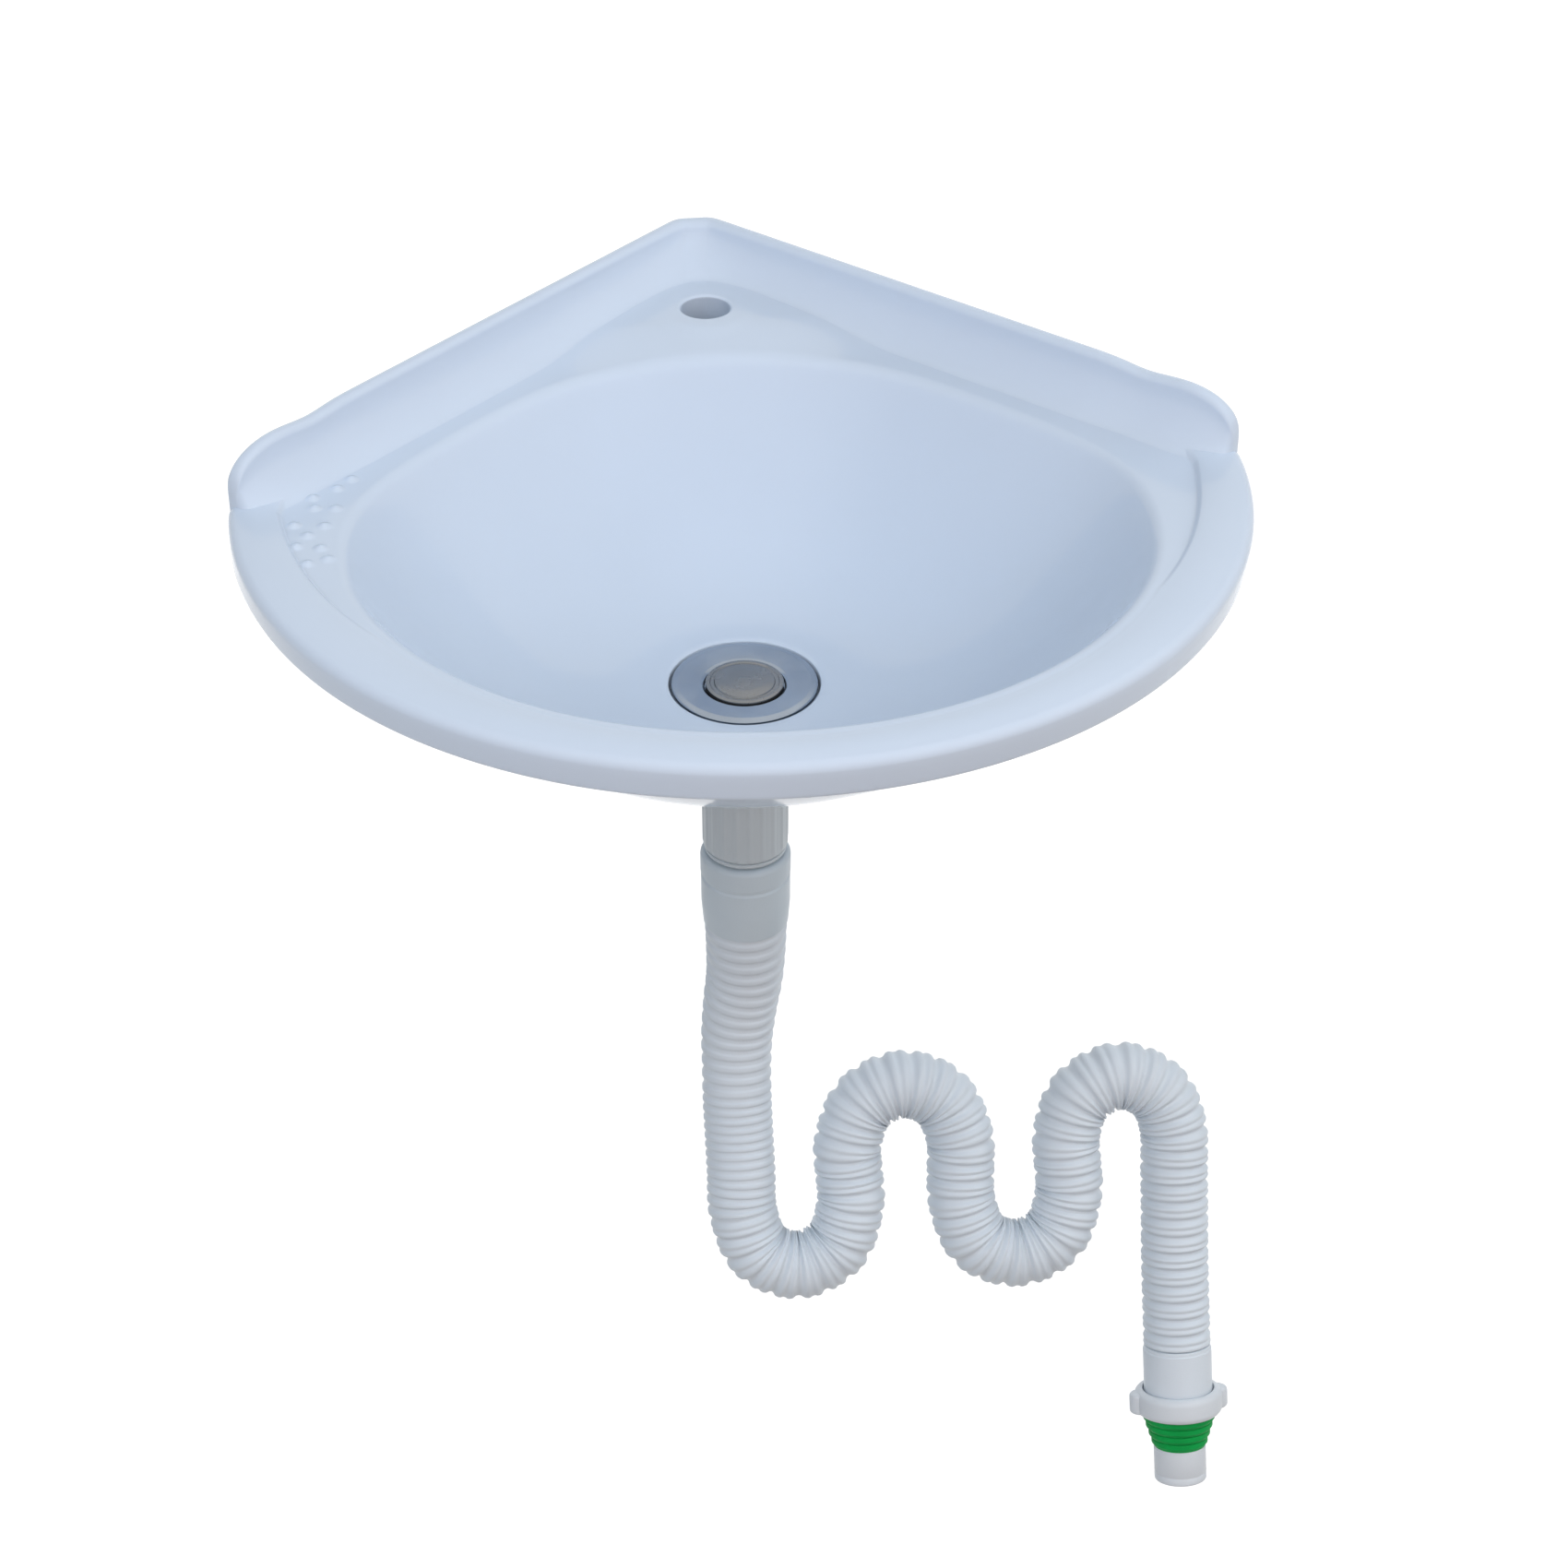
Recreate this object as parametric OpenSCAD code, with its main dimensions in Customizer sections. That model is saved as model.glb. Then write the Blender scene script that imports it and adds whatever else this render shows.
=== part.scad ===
// Corner washbasin with an oval bowl, a click waste and a ribbed waste hose.
// Frame: the origin is the corner where the two walls meet, at rim level; +Z is up and -Y is the front.

/* [Basin] */
// Length of the basin along each wall
side_len = 406; // [385:1:430]
// Distance from the corner to the front of the rim
front_reach = 578; // [560:1:600]
// Half width of the flat across the corner
apex_half = 12; // [8:0.5:16]
// Thickness of the china
china_t = 12; // [10:0.5:13]
// Height of the splash ledge above the rim
upstand_h = 32; // [22:1:38]
// Length of the round end of each ledge
lobe_len = 40; // [26:1:46]
// Fullness of that round end, where 2 is an ellipse
lobe_full = 2.4; // [2:0.1:3]
// Height of the ledge where its round end stops
notch_z = 7; // [4:0.5:9]
// Width of the top of the ledge
ledge_w = 9; // [7:0.5:11]
// Distance from the wall to the foot of the cove
cove_w = 27; // [22:1:32]
// Height of the front edge of the rim
apron_h = 20; // [16:1:26]
// Depth of the back walls at the corner, below the rim
skirt_h = 125; // [100:1:140]
// Roundness of the rim's outer edge
edge_r = 6; // [4:0.5:8]
// Height of the rim's crown
crown_h = 1; // [0.5:0.25:2]
// Width of the raised rim at its sides
band_side_w = 26; // [22:1:30]
// Width of the raised rim at the front
band_front_w = 36; // [32:1:42]
// Depth of the shelf below the rim
shelf_drop = 3; // [2:0.5:5]
// Rise of the deck from the bowl to the corner
deck_rise = 7; // [4:0.5:9]

/* [Bowl] */
// Distance from the corner to the back of the bowl
bowl_back = 142; // [136:1:150]
// Half width of the bowl
bowl_half_w = 221; // [205:1:224]
// Least distance from a wall to the bowl
bowl_wall_gap = 43; // [40:1:50]
// Roundness of the bowl's lip
lip_r = 9; // [6:0.5:11]
// Fullness of the bowl's side, where 1 is a cone
bowl_full = 2.2; // [1.8:0.1:2.6]
// Depth of the bowl's floor below the rim
bowl_depth = 131; // [120:1:145]
// Diameter of the soap studs on the left shelf
stud_d = 8; // [6:0.5:9]
// Height of the soap studs
stud_h = 1.6; // [1:0.1:2.2]

/* [Tap hole] */
// Diameter of the tap hole
tap_hole_d = 30; // [28:0.5:36]
// Distance from the corner to the tap hole
tap_back = 84; // [80:1:90]
// Diameter of the flat land round the tap hole
tap_land_d = 54; // [48:1:58]
// Height of that land above the rim
tap_land_z = 4.5; // [3:0.5:6]

/* [Wall fixing] */
// Height of the fixing slot in each back wall
fix_slot_h = 14; // [10:0.5:16]
// Width of the fixing slot
fix_slot_w = 22; // [18:1:28]
// Distance of the fixing slot along the wall
fix_along = 215; // [190:1:240]
// Depth of the fixing slot below the rim
fix_down = 52; // [46:1:60]

/* [Waste] */
// Distance from the corner to the waste
waste_back = 299; // [294:1:304]
// Diameter of the hole in the china
outlet_d = 46; // [44:0.5:50]
// Thickness of the china under the waste
outlet_t = 26; // [20:1:30]
// Diameter of the china round the outlet, underneath
outlet_boss_d = 76; // [70:1:84]
// Diameter of the flange
flange_d = 86; // [82:1:92]
// Thickness of the flange at its middle
flange_t = 6; // [5.5:0.25:7]
// Thickness of the flange at its edge
flange_edge_t = 2.5; // [2:0.25:3]
// Gap round the flange in its recess
flange_gap = 1.5; // [1:0.25:2.5]
// Thickness of the seal under the flange
flange_seal_t = 2; // [1.5:0.25:3]
// Diameter over the thread of the waste tube
thread_d = 41.8; // [41:0.1:42.6]
// Height of one turn of the thread
thread_pitch = 2.3; // [2:0.1:2.6]
// Depth of the thread
thread_h = 1.2; // [0.8:0.1:1.4]
// Bore of the waste tube
waste_bore_d = 34; // [32:0.5:35]
// Length of the waste tube below the flange's top
waste_len = 106; // [104:1:116]
// Gap between a thread and what runs on it
thread_gap = 0.2; // [0.1:0.05:0.3]

/* [Plug] */
// Diameter of the plug's cap
plug_d = 46; // [44:0.5:48]
// Thickness of the cap
plug_t = 1.8; // [1.5:0.1:2]
// Rise of the cap at its middle
plug_dome = 0.8; // [0.5:0.1:1.2]
// Gap between the cap and the flange
plug_gap = 0.8; // [0.5:0.1:1.2]
// Thickness of the plug's seal
plug_seal_t = 2; // [1.5:0.1:2]
// Diameter of the plug's stem
stem_d = 5; // [4:0.5:5.5]
// Diameter of the click cartridge
click_d = 12; // [11:0.5:13]
// Wall of the click cartridge
click_wall = 1.4; // [1.2:0.1:1.6]
// Length of the click cartridge
click_len = 32; // [30:1:34]
// Thickness of the cartridge's collar
click_collar_t = 3; // [2.5:0.25:3.5]
// Length of the sliding plunger
plunger_len = 27; // [26:0.5:28]
// Gap round the sliding plunger
plunger_gap = 0.3; // [0.2:0.05:0.4]
// Depth of the cross bar below the flange's top
bar_down = 26; // [25:1:28]
// Height of the cross bar
bar_h = 7; // [6:0.5:9]
// Width of each arm of the cross bar
bar_w = 4; // [3:0.5:5]
// Diameter of the spring's wire
spring_wire_d = 0.9; // [0.7:0.1:1]
// Turns of the spring
spring_turns = 6; // [5:1:7]

/* [Nuts under the basin] */
// Diameter of the washers under the china
washer_d = 66; // [62:1:72]
// Thickness of the rubber washer
rubber_washer_t = 4; // [3:0.5:5]
// Thickness of the plastic washer
slip_washer_t = 2; // [1.5:0.25:2.5]
// Back nut across its flats
back_nut_af = 58; // [54:1:62]
// Thickness of the back nut
back_nut_t = 12; // [10:1:14]

/* [Coupling] */
// Diameter of the coupling nut
coupling_d = 51; // [49:0.5:53]
// Height of the coupling nut
coupling_h = 50; // [46:1:52]
// Depth of the nut's lip below the cuff's flange
coupling_lip = 6; // [5:0.5:8]
// Number of grips round the nut
grip_n = 20; // [16:2:24]
// Diameter of each grip
grip_d = 3; // [2:0.5:4]
// Thickness of the coupling washer
coupling_washer_t = 3.5; // [3:0.25:4]
// Thickness of the cuff's flange
cuff_flange_t = 3.5; // [3:0.25:4]
// Diameter of the cuff's neck
cuff_neck_d = 38; // [36:0.5:39]
// Diameter of the cuff's bulge
cuff_bulge_d = 55; // [53:0.5:57]
// Length of the cuff's bulge
cuff_bulge_len = 37; // [34:1:40]
// Diameter of the cuff's mouth
cuff_mouth_d = 52; // [51:0.5:53]
// Length of the cuff's taper
cuff_taper_len = 16; // [14:1:20]

/* [Hose] */
// Diameter over the hose's ribs
hose_d = 44; // [41:0.5:45]
// Diameter of the hose's bore
hose_bore_d = 31; // [29:0.5:32]
// Depth of the grooves between the ribs on the bends
rib_depth = 2.6; // [2:0.1:3]
// Depth of the grooves on the stretched first leg
leg_rib_depth = 0.8; // [0.5:0.1:1.5]
// Pitch of the ribs on the stretched first leg
rib_pitch_leg = 7; // [6.5:0.5:9]
// Pitch of the ribs on the bends
rib_pitch_bend = 11.25; // [10:0.25:12.5]
// Length of the stretched first leg
stretched_len = 205; // [180:5:220]
// How much wider the hose is where it leaves the cuff
hose_flare = 7; // [4:0.5:7]
// Length over which the hose narrows
flare_len = 110; // [80:5:130]

/* [Drain end] */
// Diameter of the collar on the hose's end
collar_d = 44.5; // [43:0.5:46]
// Length of the collar above the ring nut
collar_len = 30; // [26:1:36]
// Height of the lip on the collar's foot
collar_lip_h = 3; // [2:0.5:4]
// How far that lip stands out
collar_lip_w = 0.6; // [0.4:0.1:1]
// Thickness of the ring nut's floor
ring_nut_floor = 5; // [3:0.5:6]
// Diameter of the ring nut
ring_nut_d = 57; // [55:0.5:60]
// Height of the ring nut
ring_nut_h = 17; // [15:1:20]
// Roundness of the ring nut
ring_nut_r = 5; // [3:0.5:6]
// Diameter over the ring nut's two ears
ear_span = 65; // [62:0.5:68]
// Width of each ear
ear_w = 15; // [12:1:18]
// Diameter of the green seal at its top
seal_top_d = 45; // [43:0.5:48]
// Diameter of the green seal at its foot
seal_foot_d = 38; // [37:0.5:40]
// Height of the green seal below the nut
seal_h = 22.5; // [18:0.5:26]
// Number of steps on the green seal
seal_steps = 4; // [3:1:5]
// Diameter of the spigot
spigot_d = 34; // [33:0.5:35.5]
// Length of the spigot below the seal
spigot_len = 23.5; // [19:0.5:27]
// How much slimmer the spigot is inside the seal and the collar
spigot_step = 0.3; // [0.2:0.1:0.5]
// Wall of the spigot
spigot_wall = 2.5; // [2:0.25:3]
// Gap between the spigot and the pieces on it
spigot_gap = 0.1; // [0.05:0.05:0.2]

/* [Hidden] */
$fn = 48;
eps = 0.01;
root2 = sqrt(2);
far = 100000;

china = [0.80, 0.85, 0.92];
chrome = [0.56, 0.61, 0.67];
steel = [0.47, 0.50, 0.53];
white_plastic = [0.84, 0.86, 0.90];
hose_grey = [0.76, 0.79, 0.82];
seal_green = [0.13, 0.62, 0.31];
dark_rubber = [0.16, 0.16, 0.17];

// The front of the rim is one arc through the ends of both walls
wall_end = side_len / root2;
bulge = front_reach - wall_end;
rim_r = (wall_end * wall_end + bulge * bulge) / (2 * bulge);
rim_back = front_reach - rim_r;
lobe_start = side_len - lobe_len;

// The bowl is an oval, set in from the front by the raised rim
bowl_front = front_reach - band_front_w;
bowl_half_l = (bowl_front - bowl_back) / 2;
bowl_mid = (bowl_front + bowl_back) / 2;
pole_shift = bowl_mid - waste_back;
shelf_z = -shelf_drop;
lip_drop = 0.8 * lip_r;
recess_r = flange_d / 2 + flange_gap;
recess_depth = flange_t + flange_seal_t;
floor_land = 5;
seal_set_in = 4.5;
floor_r = recess_r + floor_land;
flange_z = -bowl_depth;
seat_z = flange_z - recess_depth;
boss_z = seat_z - outlet_t;
boss_r = outlet_boss_d / 2;
boss_h = 12;
boss_flare = 6;
boss_top_z = boss_z + boss_h;

// Heights of the pieces below the china, each resting on the one before
washer_z = boss_z - rubber_washer_t;
slip_z = washer_z - slip_washer_t;
back_nut_z = slip_z - back_nut_t;
thread_r = thread_d / 2;
run_r = thread_r + thread_gap;
tail_z = flange_z - waste_len;
coupling_washer_z = tail_z - coupling_washer_t;
cuff_flange_z = coupling_washer_z - cuff_flange_t;
coupling_z = cuff_flange_z - coupling_lip;
cuff_clear = 1.5;
nut_taper_h = 4;
grip_foot = 5;
grip_top_gap = 2;
bulge_z = coupling_z - cuff_clear;
taper_z = bulge_z - cuff_bulge_len;
exit_z = taper_z - cuff_taper_len;
exit_at = [0, -waste_back, exit_z];

// Places inside the waste, below the flange's top
pocket_r = plug_d / 2 + plug_gap;
pocket_down = plug_t + plug_seal_t + 0.1;
bar_top_z = flange_z - bar_down;
click_top_z = bar_top_z + click_collar_t;
click_foot_z = click_top_z - click_len;
plunger_r = click_d / 2 - click_wall - plunger_gap;
spring_room = 10;
plunger_foot_z = click_foot_z + click_wall + spring_room;
plunger_top_z = plunger_foot_z + plunger_len;
stem_grip = 8;
stem_disc_t = 2;
stem_disc_gap = 4;

// Route of the hose's centre from the cuff's mouth: down, then two loops that lean to the front
route = [[0, 0, 0], [0, 0, -22], [0, 0, -44], [-4.5, -1, -66], [-7, -4, -88], [-7.5, -10, -109],
    [-8, -18, -129], [-8, -28, -151], [-8, -39, -173], [-8, -50, -196.5], [1.5, -61, -221.5],
    [26, -66, -231.5], [51, -61, -221.5], [61, -50, -196.5], [61, -41, -178.5], [61, -33, -160.5],
    [72, -22, -138], [97, -18, -128], [122, -22, -138], [133, -33, -160.5], [133, -42, -180.5],
    [133, -52, -201.5], [143, -63, -225.5], [168, -67, -235.5], [192.5, -63, -225.5], [202.5, -52, -201.5],
    [202.5, -44, -183.5], [202.5, -35, -164.5], [212.5, -25, -143], [237.5, -20, -133], [262, -25, -143],
    [272, -35, -164.5], [272, -48, -192.5], [271.5, -61, -220.5], [271, -73.5, -249], [271, -96.5, -299]];
route_end = len(route) - 1;
end_step = route[route_end] - route[route_end - 1];
end_lean = atan2(-end_step[1], -end_step[2]);
end_at = exit_at + route[route_end];
hose_stop = 4;
route_fine = 5;
bore_step = 12;
hose_sides = 8;
rib_level = 0.28;
rib_fade = 40;

// Shapes of the rings round the basin
notch_share = 0.4;
band_taper = 0.7;
band_step = 3;
full_shelf_w = 14;
thinnest_shelf = 0.15;
cove_low = 0.16;
cove_high = 0.62;
band_low = 0.4;
foot_r = 2;
under_gap = 4;
shoulder_gap = 1;

// Counts round the basin
wall_steps = 8;
lobe_steps = 4;
front_steps = 30;
bowl_rings = 6;
under_rings = 5;
cove_round = 24;
bowl_round = 18;

// Soap studs on the left shelf: angle round the waste and share of the way from the lip to the raised rim
studs = [[170.3, 0.78], [173.1, 0.75], [175.6, 1], [178.4, 0.66], [178.7, 0.23], [182.5, 0.81],
    [183.3, 0.24], [185.4, 0.52], [187.8, 0.78], [189, 0.27], [192, 0.12], [192.3, 0.68]];
stud_round = (stud_d * stud_d / 4 + stud_h * stud_h) / (2 * stud_h);

// Distance from the waste's axis along a ray at angle a to the outline set in by d
function outline_parts(a, d) = [
    cos(a) + sin(a) > eps ? (waste_back - root2 * d) / (cos(a) + sin(a)) : far,
    sin(a) - cos(a) > eps ? (waste_back - root2 * d) / (sin(a) - cos(a)) : far,
    sin(a) > eps ? (waste_back - apex_half - d) / sin(a) : far,
    (waste_back - rim_back) * sin(a)
        + sqrt(pow(rim_r - d, 2) - pow((waste_back - rim_back) * cos(a), 2))];
function outline(a, d) = min(outline_parts(a, d));

// The least of several lengths with the corner between them rounded off
function soft_least(parts, round) = pow([for (v = parts) pow(v, -round)] * [for (v = parts) 1], -1 / round);
function cove_line(a, d) = soft_least(outline_parts(a, d), cove_round);

// The same for the bowl's oval, flattened a little beside the walls
function oval(a) =
    let (q = pow(cos(a) / bowl_half_w, 2) + pow(sin(a) / bowl_half_l, 2),
        h = pole_shift * sin(a) / pow(bowl_half_l, 2),
        c = pow(pole_shift / bowl_half_l, 2) - 1)
    (-h + sqrt(h * h - q * c)) / q;
function bowl_edge(a) =
    let (side = outline_parts(a, bowl_wall_gap))
    soft_least([oval(a), side[0], side[1]], bowl_round);

// Height of the ledge at distance s along a wall
function ledge_z(s) = s <= lobe_start ? upstand_h
    : notch_z + (upstand_h - notch_z)
        * pow(max(0, 1 - pow((s - lobe_start) / lobe_len, lobe_full)), 1 / lobe_full);
function skirt_z(s) = -apron_h - (skirt_h - apron_h) * (1 - pow(s / side_len, 2));
function wall_angle(s) = atan2(waste_back - s / root2, s / root2);

// One station round the basin: angle, top height, bottom height and how much it belongs to a wall
wall_s = concat(
    [for (i = [0:wall_steps]) apex_half * root2 + (lobe_start - apex_half * root2) * i / wall_steps],
    [for (i = [1:lobe_steps]) lobe_start + lobe_len * sin(90 * i / lobe_steps)]);
last_s = len(wall_s) - 1;
notch_a = wall_angle(side_len);
front_turn = 180 + 2 * notch_a;
function wall_share(i) = i == last_s ? notch_share : 1;
stations = concat(
    [for (i = [last_s:-1:0]) [wall_angle(wall_s[i]), ledge_z(wall_s[i]), skirt_z(wall_s[i]), wall_share(i)]],
    [[90, upstand_h, skirt_z(0), 1]],
    [for (i = [0:last_s])
        [180 - wall_angle(wall_s[i]), ledge_z(wall_s[i]), skirt_z(wall_s[i]), wall_share(i)]],
    [for (i = [1:front_steps - 1]) [180 - notch_a + front_turn * i / front_steps, 0, -apron_h, 0]]);

// Width of the raised rim and depth of the shelf beside it
function band_w(a) = band_side_w + (band_front_w - band_side_w) * pow(max(0, -sin(a)), band_taper);
function shelf_w(a) = outline(a, 0) - band_w(a) - bowl_edge(a) - lip_r;
function shelf_at(st) = st[3] > 0 ? shelf_z
    : shelf_z * min(1, max(thinnest_shelf, shelf_w(st[0]) / full_shelf_w));
function foot_z(st) = shelf_at(st) + deck_rise * (st[3] > 0 ? pow(sin(st[0]), 2) : 0);
function mix(a, b, t) = a + (b - a) * t;
function stud_r(a, share) =
    mix(bowl_edge(a) + lip_r, min(cove_line(a, cove_w), outline_parts(a, band_w(a))[3]), share);
function at_station(st, r, z) = [r * cos(st[0]), -waste_back + r * sin(st[0]), z];

// Rings of the top, from the outer edge in to the deck: [set in on a wall, on the rim, height]
function top_r(st, wall_d, rim_d, soft) =
    let (a = st[0], w = st[3] > 0 ? (soft ? cove_line(a, wall_d) : outline(a, wall_d)) : 0)
    max(mix(outline(a, rim_d), w, st[3]), bowl_edge(a) + lip_r + (soft ? 0.5 : 3));
function rim_step(st, t) = mix(foot_z(st), st[1], t);
function deck_r(st) = (top_r(st, cove_w, band_w(st[0]) + band_step, true) + bowl_edge(st[0]) + lip_r) / 2;

// Rings of the bowl's side and of its underside, at share t of the way down
function side_r(a, t) = mix(bowl_edge(a), floor_r, t);
function side_top(st) = shelf_at(st) - lip_drop;
function side_z(st, t) = side_top(st) - (side_top(st) - flange_z) * (1 - pow(1 - t, bowl_full));
function side_lean(st, t) =
    let (dr = bowl_edge(st[0]) - floor_r, dz = (side_top(st) - flange_z) * bowl_full * pow(1 - t, bowl_full - 1))
    [dz, -dr] / norm([dr, dz]);
function under_r(st, t) =
    min(side_r(st[0], t) + china_t * side_lean(st, t)[0], outline(st[0], china_t) - under_gap);
function under_z(st, t) = side_z(st, t) + china_t * side_lean(st, t)[1];

basin_rings = concat(
    [[for (st = stations) at_station(st, recess_r, seat_z)]],
    [[for (st = stations) at_station(st, recess_r, flange_z - 0.5)]],
    [for (k = [bowl_rings:-1:0]) [for (st = stations)
        at_station(st, side_r(st[0], k / bowl_rings), side_z(st, k / bowl_rings))]],
    [for (k = [2:-1:0]) [for (st = stations)
        at_station(st, bowl_edge(st[0]) + lip_r * (1 - sin(30 * k)),
            shelf_at(st) - lip_r * (1 - cos(30 * k)))]],
    [[for (st = stations) at_station(st, deck_r(st), (shelf_at(st) + foot_z(st)) / 2)]],
    [[for (st = stations) at_station(st, top_r(st, cove_w, band_w(st[0]) + band_step, true), foot_z(st))]],
    [[for (st = stations) at_station(st, top_r(st, mix(ledge_w, cove_w, 0.5), band_w(st[0]), true) + 0.5,
        rim_step(st, st[3] > 0 ? cove_low : band_low))]],
    [[for (st = stations) at_station(st, top_r(st, ledge_w + 3, band_w(st[0]) - 4, true) + 1,
        rim_step(st, st[3] > 0 ? cove_high : 1))]],
    [[for (st = stations) at_station(st, top_r(st, ledge_w, band_w(st[0]) * 0.6, false),
        st[1] + (st[3] > 0 ? -0.8 : crown_h))]],
    [[for (st = stations) at_station(st, outline(st[0], edge_r), st[1])]],
    [[for (st = stations) at_station(st, outline(st[0], edge_r * 0.3), st[1] - edge_r * 0.3)]],
    [[for (st = stations) at_station(st, outline(st[0], 0), st[1] - edge_r)]],
    [[for (st = stations) at_station(st, outline(st[0], 0), st[2] + foot_r)]],
    [[for (st = stations) at_station(st, outline(st[0], foot_r), st[2])]],
    [[for (st = stations) at_station(st, outline(st[0], china_t - 1), st[2])]],
    [[for (st = stations) at_station(st, outline(st[0], china_t), min(st[2] + 3, shelf_at(st) - china_t))]],
    [[for (st = stations) at_station(st, outline(st[0], china_t), shelf_at(st) - china_t)]],
    [for (k = [0:under_rings - 1]) [for (st = stations)
        at_station(st, under_r(st, k / under_rings),
            min(under_z(st, k / under_rings), shelf_at(st) - china_t - 0.5))]],
    [[for (st = stations) at_station(st, boss_r + boss_flare, boss_top_z)]],
    [[for (st = stations) at_station(st, boss_r, boss_z)]]);

// A closed skin over a list of rings that all have the same number of points
function skin_faces(rings) =
    let (n = len(rings[0]), m = len(rings))
    concat(
        [[for (i = [n - 1:-1:0]) i]],
        [for (k = [0:m - 2]) for (i = [0:n - 1]) let (j = (i + 1) % n) each
            [[k * n + i, k * n + j, (k + 1) * n + i], [k * n + j, (k + 1) * n + j, (k + 1) * n + i]]],
        [[for (i = [0:n - 1]) (m - 1) * n + i]]);
module skin(rings) {
    polyhedron(points = [for (r = rings) each r], faces = skin_faces(rings), convexity = 10);
}

module at_waste(z) {
    translate([0, -waste_back, z]) children();
}

module ring(outer_d, inner_d, h) {
    difference() {
        cylinder(d = outer_d, h = h);
        translate([0, 0, -eps]) cylinder(d = inner_d, h = h + 2 * eps);
    }
}

module fixing_slot(side) {
    straight = fix_slot_w - fix_slot_h;
    depth = 4 * china_t;
    translate([side * fix_along / root2, -fix_along / root2, -fix_down]) rotate([0, 0, side * -45]) {
        cube([straight, depth, fix_slot_h], center = true);
        for (end = [-1, 1]) translate([end * straight / 2, 0, 0]) rotate([-90, 0, 0])
            cylinder(d = fix_slot_h, h = depth, center = true);
    }
}

module basin() {
    color(china) difference() {
        union() {
            skin(basin_rings);
            translate([0, -tap_back, -china_t]) cylinder(d = tap_land_d, h = china_t + tap_land_z);
            for (s = studs) at_waste(shelf_z + stud_h - stud_round) rotate([0, 0, s[0]])
                translate([stud_r(s[0], s[1]), 0, 0]) sphere(r = stud_round);
        }
        translate([0, -tap_back, -2 * china_t]) cylinder(d = tap_hole_d, h = 4 * china_t);
        at_waste(boss_z - 1) cylinder(d = outlet_d, h = outlet_t + 3);
        for (side = [-1, 1]) fixing_slot(side);
    }
}

// Outline of the waste from the flange down, with a ring for each turn of its thread
module waste_outline() {
    turns = floor((waste_len - flange_t - 4) / thread_pitch);
    thread_foot = -flange_t - 2 - turns * thread_pitch;
    polygon(concat(
        [[waste_bore_d / 2, -pocket_down], [pocket_r, -pocket_down], [pocket_r, -2],
            [pocket_r + 1.5, -1.2], [flange_d / 2 - 4, 0], [flange_d / 2 - 0.8, -0.3], [flange_d / 2, -1],
            [flange_d / 2, -flange_edge_t], [flange_d / 2 - 4, -flange_t], [thread_r, -flange_t],
            [thread_r, -flange_t - 2]],
        [for (i = [0:turns - 1]) each [[thread_r - thread_h, -flange_t - 2 - (i + 0.5) * thread_pitch],
            [thread_r, -flange_t - 2 - (i + 1) * thread_pitch]]],
        [[thread_r - thread_h, thread_foot - 0.6], [thread_r - thread_h, -waste_len],
            [waste_bore_d / 2, -waste_len]]));
}

module waste_body() {
    color(chrome) union() {
        at_waste(flange_z) rotate_extrude() waste_outline();
        at_waste(bar_top_z - bar_h) difference() {
            union() {
                cylinder(d = click_d + 6, h = bar_h);
                intersection() {
                    for (i = [0:2]) rotate([0, 0, 120 * i + 30]) translate([0, -bar_w / 2, 0])
                        cube([waste_bore_d / 2 + 1, bar_w, bar_h]);
                    cylinder(d = waste_bore_d + 1, h = bar_h);
                }
            }
            translate([0, 0, -eps]) cylinder(d = click_d, h = bar_h + 2 * eps);
        }
    }
}

module flange_seal() {
    color(dark_rubber) at_waste(seat_z)
        ring(flange_d - 2 * seal_set_in, thread_d + 2 * thread_gap, flange_seal_t);
}

module plug_cap() {
    edge = plug_d / 2;
    color(steel) at_waste(flange_z) rotate_extrude() polygon([[0, -plug_t], [edge - 0.5, -plug_t],
        [edge, -plug_t + 0.5], [edge, -0.4], [edge - 0.6, 0], [edge * 0.86, 0.1], [edge * 0.84, -0.3],
        [edge * 0.8, -0.3], [edge * 0.78, 0.2], [edge * 0.5, plug_dome * 0.8], [0, plug_dome]]);
}

module plug_seal() {
    color(dark_rubber) at_waste(flange_z - plug_t - plug_seal_t)
        ring(plug_d - 1, waste_bore_d - 2, plug_seal_t);
}

module plug_stem() {
    foot_z = plunger_top_z - stem_grip;
    color(steel) at_waste(foot_z) union() {
        cylinder(d = stem_d, h = flange_z - plug_t - foot_z);
        translate([0, 0, flange_z - plug_t - foot_z - stem_disc_t])
            cylinder(d = waste_bore_d - 2 * stem_disc_gap, h = stem_disc_t);
    }
}

module click_plunger() {
    color(white_plastic) at_waste(plunger_foot_z) difference() {
        cylinder(r = plunger_r, h = plunger_len);
        translate([0, 0, plunger_len - stem_grip]) cylinder(d = stem_d, h = stem_grip + eps);
    }
}

module click_housing() {
    color(white_plastic) at_waste(click_foot_z) difference() {
        union() {
            cylinder(d = click_d, h = click_len);
            translate([0, 0, click_len - click_collar_t]) cylinder(d = click_d + 5, h = click_collar_t);
        }
        translate([0, 0, click_wall]) cylinder(r = plunger_r + plunger_gap, h = click_len);
    }
}

// A closed tube of round wire swept along points, with the frame's first axis near ref
function unit(v) = v / norm(v);
function tangent(p, i) = unit(p[min(i + 1, len(p) - 1)] - p[max(i - 1, 0)]);
function tube_ring(p, i, r, ref, sides) =
    let (t = tangent(p, i), b = unit(ref - (ref * t) * t), a = cross(t, b))
    [for (k = [0:sides - 1]) p[i] + r * (cos(360 * k / sides) * a + sin(360 * k / sides) * b)];

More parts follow.
